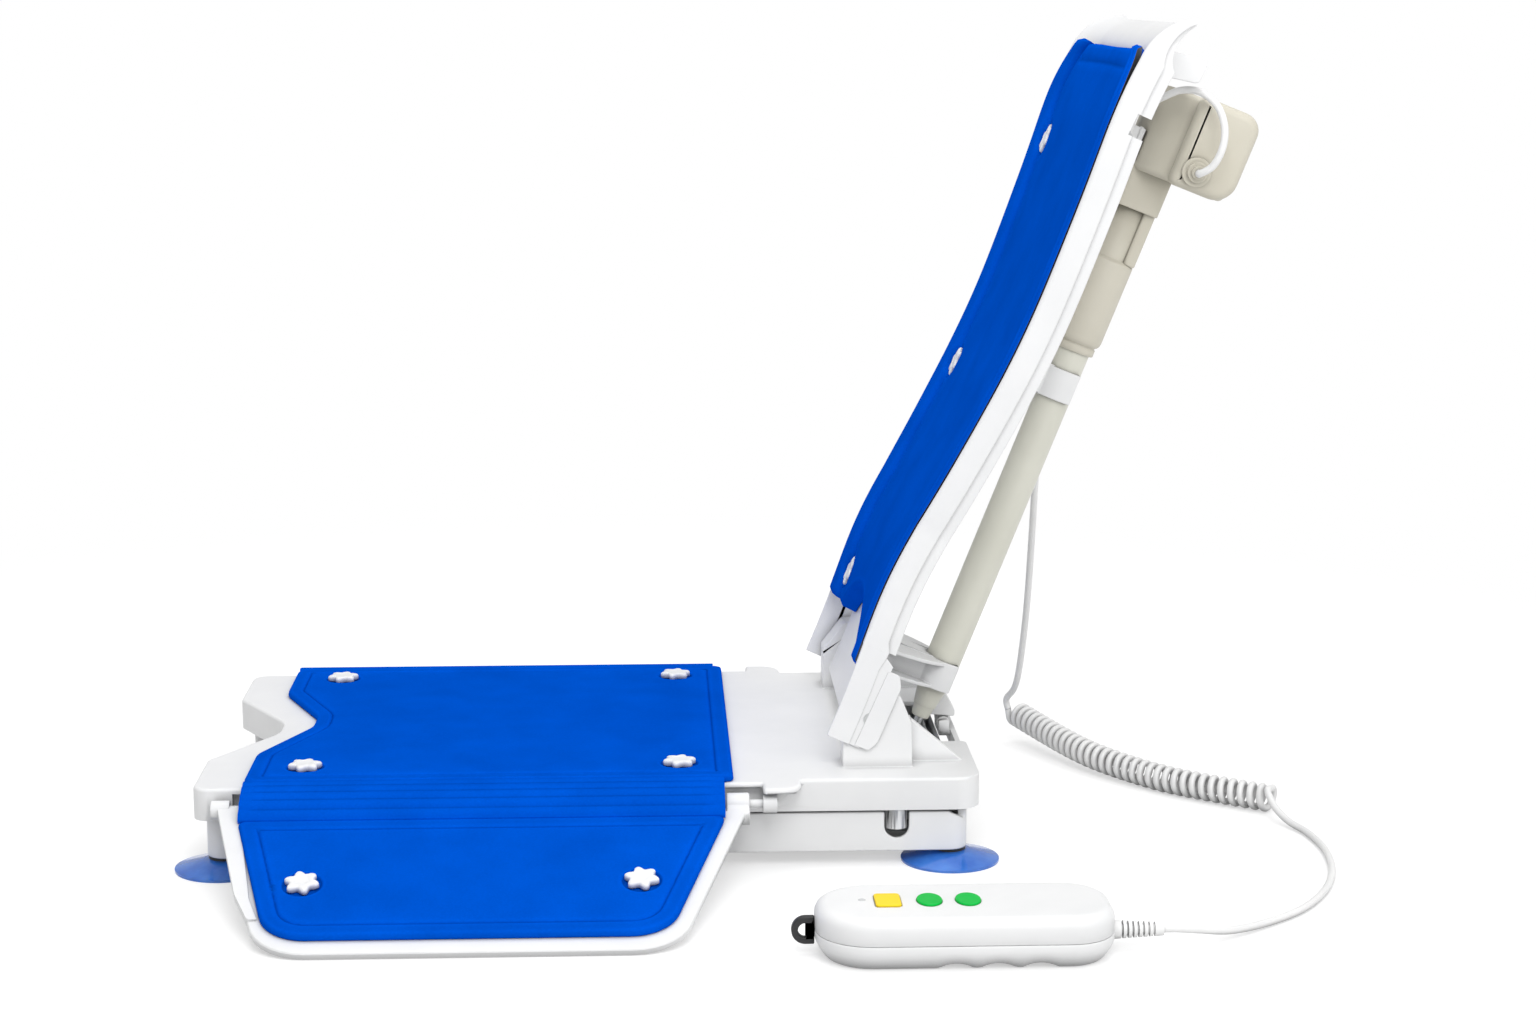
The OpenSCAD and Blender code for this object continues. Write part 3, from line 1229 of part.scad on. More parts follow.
module handset_bottom() {
    inset = 9;
    color(white) difference() {
        union() {
            translate([0, hand_y, hand_seam - 5]) outline(hand_outline(0), 5 - 0.2);
            hull() {
                translate([0, hand_y, hand_seam - 5]) outline(hand_outline(0), 1);
                translate([0, hand_y, 5]) outline(hand_outline(4), 1);
            }
            hull() {
                translate([0, hand_y, 5]) outline(hand_outline(4), 1);
                translate([0, hand_y, 0]) outline(hand_outline(inset), 1);
            }
        }
        translate([0, hand_y, hand_wall + 3]) outline(hand_outline(inset + hand_wall), hand_h);
        translate([0, hand_y, hand_seam - 6]) outline(hand_outline(hand_wall + 2), hand_h);
        for (i = [0:2]) at_hand(92 + 28 * i) translate([0, -hand_w / 2 - 1, -21]) rotate([-90, 0, 0])
            cylinder(r = 24, h = hand_w + 2);
        translate([hand_x + hand_len - 14, hand_y, cord_exit_z]) rotate([0, 90, 0]) cylinder(r = 2.5,
            h = 20);
    }
}
module handset_core() {
    color("#3b5f3a") {
        translate([0, hand_y, hand_seam]) outline(hand_outline(hand_wall + 3), 2);
        translate([hand_x + 44, hand_y - 20, hand_wall + 3]) cube([110, 40, hand_seam - hand_wall - 2.5]);
        for (x = button_x) at_hand(x) translate([0, 0, hand_seam + 1]) cylinder(r = 3,
            h = hand_h - 5 - button_travel - hand_seam - 1.5);
    }
}
module handset_loop() {
    color(black) translate([hand_x - 6, hand_y + 3, 17]) rotate([90, 0, 0]) difference() {
        union() {
            cylinder(r = 9.5, h = 6);
            translate([0, -9.5, 0]) cube([6.2, 19, 6]);
        }
        translate([0, 0, -1]) cylinder(r = 5, h = 8);
        translate([0, -5, -1]) cube([4.5, 10, 8]);
        translate([6, -20, -1]) cube([20, 40, 8]);
    }
}
module button_body() {
    translate([0, 0, hand_h - 5]) linear_extrude(6.4) children();
}
module stop_button() {
    color("#f5c518") at_hand(button_x[0]) button_body() square_button(0);
}
module oval_button(i) {
    color("#12a84a") at_hand(button_x[i]) button_body() polygon(oval(button_w / 2, button_l / 2));
}
module up_button() { oval_button(1); }
module down_button() { oval_button(2); }

base_tray();
suction_cups();
cup_necks();
lower_rails();
base_pivot_pins();
outer_arm_near();
outer_arm_far();
outer_cross_tube();
centre_pins();
upper_slide_blocks();
inner_arm_near();
inner_arm_far();
inner_cross_tube();
drive_shafts();
drive_crank();
lower_slide_blocks();
seat_frame();
upper_rails();
seat_cover();
seat_knobs();
flap_hinge_rods();
recline_pins();
fold_strip_near();
fold_strip_far();
flap_plate_near();
flap_cover_near();
flap_knobs_near();
flap_plate_far();
flap_cover_far();
flap_knobs_far();
release_lever();
backrest_shell();
backrest_cover();
backrest_knobs();
tube_clip_lower();
tube_clip_upper();
motor_bracket();
stow_bar();
gear_housing();
motor_housing();
motor_cover();
drive_motor();
actuator_tube();
tube_nose();
lead_screw();
push_tube();
push_rod();
cord_socket();
cord_held();
cord_drop();
cord_coil();
cord_tail();
strain_relief();
handset_top();
handset_bottom();
handset_core();
handset_loop();
stop_button();
up_button();
down_button();
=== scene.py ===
"""Bath lift: the visual model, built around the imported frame. Lengths are drawn in millimetres."""
import json
import math

import bmesh
import bpy
import numpy as np
from mathutils.geometry import delaunay_2d_cdt
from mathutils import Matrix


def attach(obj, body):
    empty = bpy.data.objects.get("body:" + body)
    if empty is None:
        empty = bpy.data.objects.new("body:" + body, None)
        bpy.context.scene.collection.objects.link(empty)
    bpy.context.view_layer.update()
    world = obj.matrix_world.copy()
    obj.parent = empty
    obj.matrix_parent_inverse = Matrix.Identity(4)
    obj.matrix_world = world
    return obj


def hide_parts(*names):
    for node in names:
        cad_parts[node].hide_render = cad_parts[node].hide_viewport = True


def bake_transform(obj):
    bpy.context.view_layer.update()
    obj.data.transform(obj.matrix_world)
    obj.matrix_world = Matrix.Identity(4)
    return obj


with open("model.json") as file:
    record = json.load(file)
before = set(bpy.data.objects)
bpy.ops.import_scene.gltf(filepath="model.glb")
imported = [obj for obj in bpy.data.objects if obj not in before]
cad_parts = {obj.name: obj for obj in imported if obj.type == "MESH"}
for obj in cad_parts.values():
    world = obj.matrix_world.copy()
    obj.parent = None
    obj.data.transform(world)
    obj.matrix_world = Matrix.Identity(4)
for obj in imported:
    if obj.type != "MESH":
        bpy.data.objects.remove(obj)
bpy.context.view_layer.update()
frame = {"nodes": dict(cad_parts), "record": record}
NODES = frame["nodes"]
SLOT_OF = {part["node"]: part["material_slot"] for part in frame["record"]["subparts"]}
BODY_OF = {node: body for body, names in frame["record"]["behaviour"]["bodies"].items() for node in names}
SCENE = bpy.context.scene
MM = 0.001
TAU = 2 * math.pi

# Camera
CAMERA_PLACE = (0.044866, -2.175711, 0.636977)
CAMERA_LENS, SENSOR_WIDTH = 66.83, 36.0
LOOK_DOWN, LOOK_ASIDE = 10.4505, 2.4598


def make_camera():
    data = bpy.data.cameras.new("camera")
    data.lens = CAMERA_LENS
    data.sensor_width = SENSOR_WIDTH
    cam = bpy.data.objects.new("camera", data)
    cam.location = CAMERA_PLACE
    cam.rotation_euler = (math.radians(90 - LOOK_DOWN), 0.0, math.radians(-LOOK_ASIDE))
    SCENE.collection.objects.link(cam)
    SCENE.camera = cam


make_camera()


# Mesh helpers
def mesh_object(name, verts, faces, smooth=True):
    """A new object from points in millimetres."""
    mesh = bpy.data.meshes.new(name)
    mesh.from_pydata([tuple(float(c) * MM for c in v) for v in verts], [], faces)
    mesh.validate()
    mesh.update()
    for poly in mesh.polygons:
        poly.use_smooth = smooth
    obj = bpy.data.objects.new(name, mesh)
    SCENE.collection.objects.link(obj)
    return obj


def outward(obj):
    """Turn the faces of a closed mesh outward."""
    bm = bmesh.new()
    bm.from_mesh(obj.data)
    bmesh.ops.recalc_face_normals(bm, faces=bm.faces)
    bm.to_mesh(obj.data)
    bm.free()
    return obj


def crisp(obj, degrees):
    """Shade edges above an angle as edges."""
    obj.data.set_sharp_from_angle(angle=math.radians(degrees))


def sharpen(obj, degrees):
    """Keep edges above an angle crisp, and shade flat faces flat."""
    crisp(obj, degrees)
    mod = obj.modifiers.new("even_normals", "WEIGHTED_NORMAL")
    mod.keep_sharp = True


def applied(obj):
    """Bake an object's modifiers into its mesh."""
    bpy.context.view_layer.update()
    mesh = bpy.data.meshes.new_from_object(obj.evaluated_get(bpy.context.evaluated_depsgraph_get()))
    obj.modifiers.clear()
    obj.data = mesh


def unit(v):
    v = np.asarray(v, float)
    return v / np.linalg.norm(v)


def turns(count):
    """The angles of a full turn in equal steps."""
    return [TAU * k / count for k in range(count)]


def ellipse(x, y, rx, ry, count):
    return np.array([[x + rx * math.cos(a), y + ry * math.sin(a)] for a in turns(count)])


def run_along(points):
    """How far along a line each of its points lies."""
    return np.r_[0, np.cumsum(np.linalg.norm(np.diff(points, axis=0), axis=1))]


def route(points, steps):
    """One smooth curve through the points."""
    p = np.asarray(points, float)
    out = []
    for i in range(len(p) - 1):
        a, b, c, d = p[max(i - 1, 0)], p[i], p[i + 1], p[min(i + 2, len(p) - 1)]
        for k in range(steps):
            t = k / steps
            out.append(0.5 * (2 * b + (c - a) * t + (2 * a - 5 * b + 4 * c - d) * t * t
                              + (3 * b - a - 3 * c + d) * t ** 3))
    return np.array(out + [p[-1]])


def loft(rings):
    """Points and faces of a closed form over rings of equal count."""
    n = len(rings[0])
    verts = [p for ring in rings for p in ring]
    faces = [(i * n + k, i * n + (k + 1) % n, (i + 1) * n + (k + 1) % n, (i + 1) * n + k)
             for i in range(len(rings) - 1) for k in range(n)]
    last = (len(rings) - 1) * n
    faces += [tuple(range(n))[::-1], tuple(range(last, last + n))]
    return verts, faces


def tube(name, path, radius, sides):
    """A closed round tube along a path."""
    path = np.asarray(path, float)
    tang = np.gradient(path, axis=0)
    tang /= np.linalg.norm(tang, axis=1)[:, None]
    side = np.array([0.0, 0, 1]) if abs(tang[0][2]) < 0.8 else np.array([1.0, 0, 0])
    rings = []
    for p, t in zip(path, tang):
        side = unit(side - (side @ t) * t)
        other = np.cross(t, side)
        rings.append([p + radius * (math.cos(a) * side + math.sin(a) * other) for a in turns(sides)])
    return outward(mesh_object(name, *loft(rings)))


def lathe(profile, place, sides, radius_at=None):
    """Points and faces of a closed turned form; place maps (x, y, z) to the object's frame."""
    rings = []
    for r, z in profile:
        ring = []
        for a in turns(sides):
            f = radius_at(a, r) if radius_at else r
            ring.append(place(f * math.cos(a), f * math.sin(a), z))
        rings.append(ring)
    return loft(rings)


def joined(name, shells):
    """One object from several closed shells of points and faces."""
    verts, faces = [], []
    for v, f in shells:
        start = len(verts)
        verts += v
        faces += [tuple(i + start for i in face) for face in f]
    return outward(mesh_object(name, verts, faces))


# Outlines
def rounded(corners, steps=10):
    """Points of an outline whose corners (x, y, radius) are rounded."""
    pts = []
    n = len(corners)
    for i in range(n):
        a, b, c = (np.array(corners[(i + k) % n][:2], float) for k in (-1, 0, 1))
        r = corners[i][2]
        u, v = unit(a - b), unit(c - b)
        half = math.acos(max(-1, min(1, float(u @ v)))) / 2
        if r <= 0 or half > math.pi / 2 - 0.01:
            pts.append(b)
            continue
        reach = r / math.tan(half)
        mid = b + unit(u + v) * r / math.sin(half)
        p, q = b + u * reach - mid, b + v * reach - mid
        start = math.atan2(p[1], p[0])
        turn = (math.atan2(q[1], q[0]) - start + math.pi) % TAU - math.pi
        for k in range(steps + 1):
            t = start + turn * k / steps
            pts.append(mid + r * np.array([math.cos(t), math.sin(t)]))
    return np.array(pts)


def both_sides(half):
    return half + [[x, -y, r] for x, y, r in reversed(half)]


def even(points, gap):
    """The closed outline in steps of about gap, counter-clockwise."""
    p = np.asarray(points, float)
    area = np.sum(p[:, 0] * np.roll(p[:, 1], -1) - np.roll(p[:, 0], -1) * p[:, 1])
    if area < 0:
        p = p[::-1]
    closed = np.vstack([p, p[:1]])
    run = run_along(closed)
    count = max(12, int(round(run[-1] / gap)))
    s = np.linspace(0, run[-1], count, endpoint=False)
    return np.stack([np.interp(s, run, closed[:, k]) for k in range(2)], 1)


def inward(edge):
    """At each point of a counter-clockwise outline, the direction into it."""
    flow = np.roll(edge, -1, axis=0) - np.roll(edge, 1, axis=0)
    return np.stack([-flow[:, 1], flow[:, 0]], 1) / np.linalg.norm(flow, axis=1)[:, None]


def distance_to(points, outline):
    """Distance of each point to a closed outline."""
    best = np.full(len(points), 1e9)
    for p0, v in zip(outline, np.roll(outline, -1, axis=0) - outline):
        w = points - p0
        t = np.clip((w @ v) / max(v @ v, 1e-12), 0, 1)
        best = np.minimum(best, np.linalg.norm(w - t[:, None] * v, axis=1))
    return best


def inside(points, outline):
    """Which of the points a closed outline holds."""
    x, y = points[:, 0], points[:, 1]
    hit = np.zeros(len(points), bool)
    for (x0, y0), (x1, y1) in zip(outline, np.roll(outline, -1, axis=0)):
        if y0 == y1:
            continue
        hit ^= ((y0 > y) != (y1 > y)) & (x < (x1 - x0) * (y - y0) / (y1 - y0) + x0)
    return hit


def slab(outline, y0, y1, place):
    """A flat plate with slightly rounded edges; outline is in (d, u)."""
    edge = even(np.array(outline, float), 3.0)
    levels = ((0.8, y0), (0.2, y0 + 0.2), (0.0, y0 + 0.8), (0.0, y1 - 0.8), (0.2, y1 - 0.2), (0.8, y1))
    return loft([[place(d, y, u) for d, u in edge + inward(edge) * inset] for inset, y in levels])


def block(corners, low, high, low_r, high_r, place):
    """A prism with rounded ends: corners are (x, y, radius), low and high its ends."""
    edge = even(rounded(corners), 2.0)
    arc = [math.pi / 2 * k / 6 for k in range(7)]
    levels = [(low_r * (1 - math.sin(a)), low + low_r * (1 - math.cos(a))) for a in arc]
    levels += [(high_r * (1 - math.sin(a)), high - high_r * (1 - math.cos(a))) for a in reversed(arc)]
    return loft([[place(x, y, z) for x, y in edge + inward(edge) * inset] for inset, z in levels])


# Cords
HAND_X, HAND_Y, HAND_LEN, HAND_W, HAND_H, HAND_SEAM = 154.0, -355.0, 200.0, 84.0, 36.0, 18.0
RELIEF_LEN, RELIEF_Z = 35.0, 14.0
CORD_D = 5.5
DRIVE_TILT = math.radians(21.7)
DRIVE_UP = np.array([math.sin(DRIVE_TILT), 0, math.cos(DRIVE_TILT)])
DRIVE_BACK = np.array([math.cos(DRIVE_TILT), 0, -math.sin(DRIVE_TILT)])
NOSE = np.array([258.0, 0, 71])
SOCKET = NOSE + 23 * DRIVE_BACK + 472 * DRIVE_UP + [0, -74, 0]
HOOK = NOSE + [0, 27, 0] + 274 * DRIVE_UP
HELD = [[462, -85, 507], [468, -88, 520], [470, -84, 535], [466, -76, 550], [455, -66, 560], [442, -57, 561],
        [431, -49, 556], [424, -36, 551], [422, -18, 549], [422, 2, 547], [420, 18, 541], [414, 26, 525],
        [407, 29, 507], [401, 30, 486], [391, 30, 452], [380, 29, 420]]
DROP = [[354, 32, 310], [354, 42, 288], [355, 60, 255], [357, 90, 198], [358, 122, 130], [357, 150, 76],
        [355, 166, 52]]
TAIL = [[526, -53, 18], [529, -65, 11], [536, -81, 5], [545, -106, 3.2], [548, -150, 3.2], [541, -200, 3.2],
        [525, -245, 3.2], [500, -285, 3.2], [468, -315, 3.6], [438, -337, 6], [414, -349, 11]]
COIL_AXIS = [[360, 184, 24], [404, 92, 15], [448, 32, 11.6], [486, -6, 11.6], [531, -40, 11.6]]
COIL_TURNS, COIL_R, TURN_STEPS = 34.75, 8.5, 22
RELIEF_END = np.array([HAND_X + HAND_LEN + RELIEF_LEN, HAND_Y, RELIEF_Z])
COIL_SIDES, CORD_SIDES = 10, 14


def coil_path():
    """The curls, with a short straight lead at each end, and the directions of both leads."""
    axis = route(COIL_AXIS, 40)
    run = run_along(axis)

    def at(s):
        return np.array([np.interp(s * run[-1], run, axis[:, k]) for k in range(3)])

    count = math.ceil(COIL_TURNS * TURN_STEPS)
    curl = []
    for i in range(count + 1):
        s = i / count
        t = unit(at(min(1, s + 0.01)) - at(max(0, s - 0.01)))
        side = unit(np.cross(t, [0, 0, 1]))
        a = -TAU * COIL_TURNS * s
        curl.append(at(s) + COIL_R * (math.cos(a) * side + math.sin(a) * np.cross(side, t)))
    first, last = unit(curl[0] - curl[1]), unit(curl[-1] - curl[-2])
    return np.array([curl[0] + first * CORD_D] + curl + [curl[-1] + last * CORD_D]), first, last


def make_cords():
    coil, first, last = coil_path()
    down = HOOK - DRIVE_UP * 0.4
    held = route([SOCKET, SOCKET - [0, CORD_D, 0], *HELD,
                  HOOK + DRIVE_UP * 26, HOOK + DRIVE_UP * 12, down], 8)
    drop = route([down, HOOK - DRIVE_UP * CORD_D, *DROP, coil[0] + first * 9, coil[0]], 10)
    tail = route([coil[-1], coil[-1] + last * CORD_D, *TAIL, RELIEF_END + [9, 0, 0], RELIEF_END], 8)
    made = {}
    for name, path, lay in (("cord_held", held, "hanging"), ("cord_drop", drop, "hanging"),
                            ("cord_coil", coil, "coiled"), ("cord_tail", tail, "loose")):
        obj = tube(name + "_line", path, CORD_D / 2, COIL_SIDES if name == "cord_coil" else CORD_SIDES)
        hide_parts(name)
        made[name] = obj
    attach(made["cord_held"], "backrest")
    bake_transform(made["cord_drop"])
    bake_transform(made["cord_coil"])
    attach(made["cord_tail"], "handset")
    return made


CORDS = make_cords()

# Materials
# Painted shade in inner corners: how dark it gets, how far it reaches and its samples.
CREASE_SHADE, CREASE_REACH, CREASE_SAMPLES = 0.5, 0.012, 8


def new_material(name):
    mat = bpy.data.materials.new(name)
    mat.use_nodes = True
    tree = mat.node_tree
    return mat, tree, tree.nodes["Principled BSDF"], tree.nodes.new("ShaderNodeTexCoord")


def link(tree, a, out, b, into):
    tree.links.new(a.outputs[out], b.inputs[into])


def noise(tree, coords, scale, detail):
    node = tree.nodes.new("ShaderNodeTexNoise")
    node.inputs["Scale"].default_value = scale
    node.inputs["Detail"].default_value = detail
    node.inputs["Roughness"].default_value = 0.55
    link(tree, coords, "Object", node, "Vector")
    return node


def ramp(tree, source, out, low, high, start=0.3, end=0.7):
    """Values or colours from low to high as the source goes from start to end."""
    node = tree.nodes.new("ShaderNodeValToRGB")
    for stop, place, value in zip(node.color_ramp.elements, (start, end), (low, high)):
        stop.position = place
        stop.color = (*value, 1) if isinstance(value, tuple) else (value, value, value, 1)
    link(tree, source, out, node, "Fac")
    return node


def bump(tree, source, out, strength, distance, shader, before=None):
    node = tree.nodes.new("ShaderNodeBump")
    node.inputs["Strength"].default_value = strength
    node.inputs["Distance"].default_value = distance
    link(tree, source, out, node, "Height")
    if before:
        link(tree, before, "Normal", node, "Normal")
    link(tree, node, "Normal", shader, "Normal")
    return node


def multiplied(tree, a, b, factor=1.0):
    """Colour a multiplied by colour b, as far as the factor says."""
    node = tree.nodes.new("ShaderNodeMix")
    node.data_type = "RGBA"
    node.blend_type = "MULTIPLY"
    node.inputs["Factor"].default_value = factor
    tree.links.new(a, node.inputs[6])
    tree.links.new(b, node.inputs[7])
    return node.outputs[2]


def painted_crease_shade(tree):
    """Painted shade: darkening of narrow inner corners, where shade falls."""
    node = tree.nodes.new("ShaderNodeAmbientOcclusion")
    node.samples = CREASE_SAMPLES
    node.inputs["Distance"].default_value = CREASE_REACH
    return ramp(tree, node, "AO", CREASE_SHADE, 1.0, 0.2, 0.85)


def moulded(name, dark, light, rough, grain=2200.0, strength=0.08, specular=0.5):
    """Moulded plastic: slow colour drift, fine spark-eroded grain, uneven gloss and painted shade in inner
    corners.
    """
    mat, tree, bsdf, coords = new_material(name)
    slow = noise(tree, coords, 14.0, 4.0)
    fine = noise(tree, coords, grain, 2.0)
    wipe = noise(tree, coords, 60.0, 5.0)
    colour = ramp(tree, slow, "Fac", dark, light)
    # Painted shade: the colour is darkened in narrow inner corners.
    tree.links.new(multiplied(tree, colour.outputs[0], painted_crease_shade(tree).outputs[0]), bsdf.inputs["Base Color"])
    link(tree, ramp(tree, wipe, "Fac", rough[0], rough[1]), "Color", bsdf, "Roughness")
    bump(tree, fine, "Fac", strength, 0.0002, bsdf)
    bsdf.inputs["Specular IOR Level"].default_value = specular
    return mat


def cover_vinyl(name, grain):
    """Blue padded vinyl, with painted shade in its pressed lines and in the crevices of its grain; grain is
    how deep the pebbles are.
    """
    mat, tree, bsdf, coords = new_material(name)
    cells = tree.nodes.new("ShaderNodeTexVoronoi")
    cells.feature = "SMOOTH_F1"
    cells.inputs["Scale"].default_value = 620.0
    cells.inputs["Smoothness"].default_value = 0.6
    link(tree, coords, "Object", cells, "Vector")
    slow = noise(tree, coords, 22.0, 5.0)
    fine = noise(tree, coords, 1500.0, 3.0)
    base = ramp(tree, slow, "Fac", (0.0, 0.08, 0.56), (0.0, 0.094, 0.65))
    # Painted shade in the crevices of the pebble grain, where the bump sinks.
    pit_shade = ramp(tree, cells, "Distance", (1.0, 1.0, 1.0), (0.72, 0.76, 0.8), 0.1, 0.75)
    bend = tree.nodes.new("ShaderNodeNewGeometry")
    # Painted shade in the pressed lines, where the surface is hollow.
    pressed = ramp(tree, bend, "Pointiness", 0.45, 1.0, 0.44, 0.51)
    tint = multiplied(tree, base.outputs[0], pit_shade.outputs[0], 0.35)
    tree.links.new(multiplied(tree, tint, pressed.outputs[0]), bsdf.inputs["Base Color"])
    link(tree, ramp(tree, fine, "Fac", 0.55, 0.72), "Color", bsdf, "Roughness")
    first = bump(tree, cells, "Distance", -0.55 * grain, 0.0005, bsdf)
    bump(tree, fine, "Fac", 0.12, 0.0002, bsdf, first)
    bsdf.inputs["Specular IOR Level"].default_value = 0.0
    return mat


def cup_rubber(name):
    """Clear blue rubber of the suction cups."""
    mat, tree, bsdf, coords = new_material(name)
    slow = noise(tree, coords, 45.0, 4.0)
    link(tree, ramp(tree, slow, "Fac", (0.03, 0.19, 0.75), (0.09, 0.33, 0.95)), "Color", bsdf, "Base Color")
    link(tree, ramp(tree, slow, "Fac", 0.1, 0.2), "Color", bsdf, "Roughness")
    bump(tree, slow, "Fac", 0.06, 0.001, bsdf)
    bsdf.inputs["Transmission Weight"].default_value = 0.4
    bsdf.inputs["IOR"].default_value = 1.42
    bsdf.inputs["Coat Weight"].default_value = 0.4
    return mat


def brushed(name):
    """Drawn steel with fine lines along X."""
    mat, tree, bsdf, coords = new_material(name)
    stretch = tree.nodes.new("ShaderNodeMapping")
    stretch.inputs["Scale"].default_value = (30.0, 900.0, 900.0)
    link(tree, coords, "Object", stretch, "Vector")
    lines = tree.nodes.new("ShaderNodeTexNoise")
    lines.inputs["Scale"].default_value = 1.0
    lines.inputs["Detail"].default_value = 4.0
    link(tree, stretch, "Vector", lines, "Vector")
    link(tree, ramp(tree, lines, "Fac", (0.5, 0.51, 0.52), (0.68, 0.69, 0.7)), "Color", bsdf, "Base Color")
    link(tree, ramp(tree, lines, "Fac", 0.26, 0.42), "Color", bsdf, "Roughness")
    bump(tree, lines, "Fac", 0.1, 0.0002, bsdf)
    bsdf.inputs["Metallic"].default_value = 1.0
    return mat


MATERIALS = {
    "white_plastic": moulded("white_plastic", (0.8, 0.805, 0.81), (0.85, 0.852, 0.855), (0.34, 0.46),
                             specular=0.35),
    "blue_cover": cover_vinyl("blue_cover", 1.0),
    "cup_rubber": cup_rubber("cup_rubber"),
    "black_rubber": moulded("black_rubber", (0.012, 0.012, 0.013), (0.022, 0.022, 0.024), (0.42, 0.6),
                            900.0, 0.2),
    "steel": brushed("steel"),
    "greige_plastic": moulded("greige_plastic", (0.56, 0.53, 0.44), (0.62, 0.59, 0.5), (0.4, 0.55),
                              1500.0, 0.16),
    "cream_tube": moulded("cream_tube", (0.66, 0.655, 0.57), (0.72, 0.715, 0.63), (0.3, 0.42), 1800.0, 0.06),
    "cord_white": moulded("cord_white", (0.8, 0.8, 0.8), (0.87, 0.87, 0.865), (0.36, 0.5), 1200.0, 0.1),
    "circuit": moulded("circuit", (0.02, 0.09, 0.03), (0.03, 0.13, 0.05), (0.4, 0.5)),
    "stop_yellow": moulded("stop_yellow", (0.93, 0.64, 0.015), (0.98, 0.72, 0.025), (0.4, 0.5),
                           specular=0.15),
    "drive_green": moulded("drive_green", (0.0, 0.46, 0.05), (0.003, 0.55, 0.075), (0.4, 0.5),
                           specular=0.12),
}
BAND = cover_vinyl("blue_cover_band", 0.25)


def paint(obj, *materials):
    obj.data.materials.clear()
    for mat in materials:
        obj.data.materials.append(mat)


def dress(obj, body, slot_name, *nodes):
    """Ride and paint a piece in the slot's material; it replaces the nodes named."""
    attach(obj, body)
    if nodes:
        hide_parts(*nodes)
    paint(obj, MATERIALS[slot_name])


for cord_object in CORDS.values():
    paint(cord_object, MATERIALS["cord_white"])
for node_name, node_object in NODES.items():
    paint(node_object, MATERIALS[SLOT_OF[node_name]])

# Hard parts with rounded edges
FLAPS = ((-1, "near"), (1, "far"))
FLAP_KNOBS = [(-194.0, 107.0), (39.0, 107.0)]
FLAP_HOLE_HALF, FLAP_HOLE_FROM, FLAP_HOLE_TO = 11.0, 272.0, 300.0
EDGE_WIDTHS = {
    "base_tray": 1.2, "seat_frame": 1.0, "flap_plate_near": 1.4, "flap_plate_far": 1.4, "release_lever": 0.8,
    "tube_clip_lower": 0.8, "tube_clip_upper": 0.8, "motor_bracket": 0.8, "stow_bar": 0.8,
    "cord_socket": 0.5, "handset_loop": 0.9, "stop_button": 0.8, "up_button": 0.9, "down_button": 0.9,
    "tube_nose": 0.5,
}
EDGE_ANGLE = math.radians(30)
SEAT_EDGE, SEAT_EDGE_FROM = 2.4, 66.0


def on_seat_rim(mid):
    """Whether an edge's middle lies on the seat frame's top at its front or sides."""
    return mid[2] > 66.9 and (mid[0] < -241 or abs(mid[1]) > 164)


def near_flap_hole(mid):
    return any(abs(mid[0] - x) < FLAP_HOLE_HALF and FLAP_HOLE_FROM < abs(mid[1]) < FLAP_HOLE_TO
               for x, _ in FLAP_KNOBS)


def faces_down(item):
    """Whether a corner or an edge belongs to a face that looks down."""
    return any(face.normal.z < -0.7 for face in item.link_faces)


def round_edges(bm, width, segments, keep):
    """Round the sharp edges that keep(edge, its middle in millimetres) lets through."""
    edges = []
    for edge in bm.edges:
        if len(edge.link_faces) == 2 and edge.calc_face_angle(0) >= EDGE_ANGLE:
            if keep(edge, (edge.verts[0].co + edge.verts[1].co) / (2 * MM)):
                edges.append(edge)
    bmesh.ops.bevel(bm, geom=edges, offset=width * MM, offset_type="OFFSET", segments=segments, profile=0.5,
                    affect="EDGES", clamp_overlap=False, loop_slide=True)


def soften(node, width):
    """A copy of a node with its sharp edges rounded.

    The seat frame is rounded at its top alone, and wider along its rim. A flap's underside and the edges
    of its holes stay as they are.
    """
    seat, flap = node == "seat_frame", node.startswith("flap_plate")
    above = SEAT_EDGE_FROM if seat else -1.0
    bm = bmesh.new()
    bm.from_mesh(NODES[node].data)
    bmesh.ops.remove_doubles(bm, verts=bm.verts, dist=0.00002)
    bm.normal_update()
    free = [v for v in bm.verts if v.co.z > above * MM and not (flap and faces_down(v))]
    lines = [e for e in bm.edges
             if min(v.co.z for v in e.verts) > above * MM and not (flap and faces_down(e))]
    bmesh.ops.dissolve_limit(bm, angle_limit=math.radians(0.1), verts=free, edges=lines, delimit={"NORMAL"})
    if seat:
        round_edges(bm, SEAT_EDGE, 4, lambda edge, mid: on_seat_rim(mid))
    round_edges(bm, width, 2, lambda edge, mid: mid[2] > above and not (seat and on_seat_rim(mid))
                and not (flap and (near_flap_hole(mid) or faces_down(edge))))
    bmesh.ops.remove_doubles(bm, verts=bm.verts, dist=0.00005)
    mesh = bpy.data.meshes.new(node + "_finish")
    bm.to_mesh(mesh)
    bm.free()
    for poly in mesh.polygons:
        poly.use_smooth = True
    obj = bpy.data.objects.new(node + "_finish", mesh)
    SCENE.collection.objects.link(obj)
    sharpen(obj, 42)
    applied(obj)
    return obj


for node_name, edge_width in EDGE_WIDTHS.items():
    dress(soften(node_name, edge_width), BODY_OF[node_name], SLOT_OF[node_name], node_name)


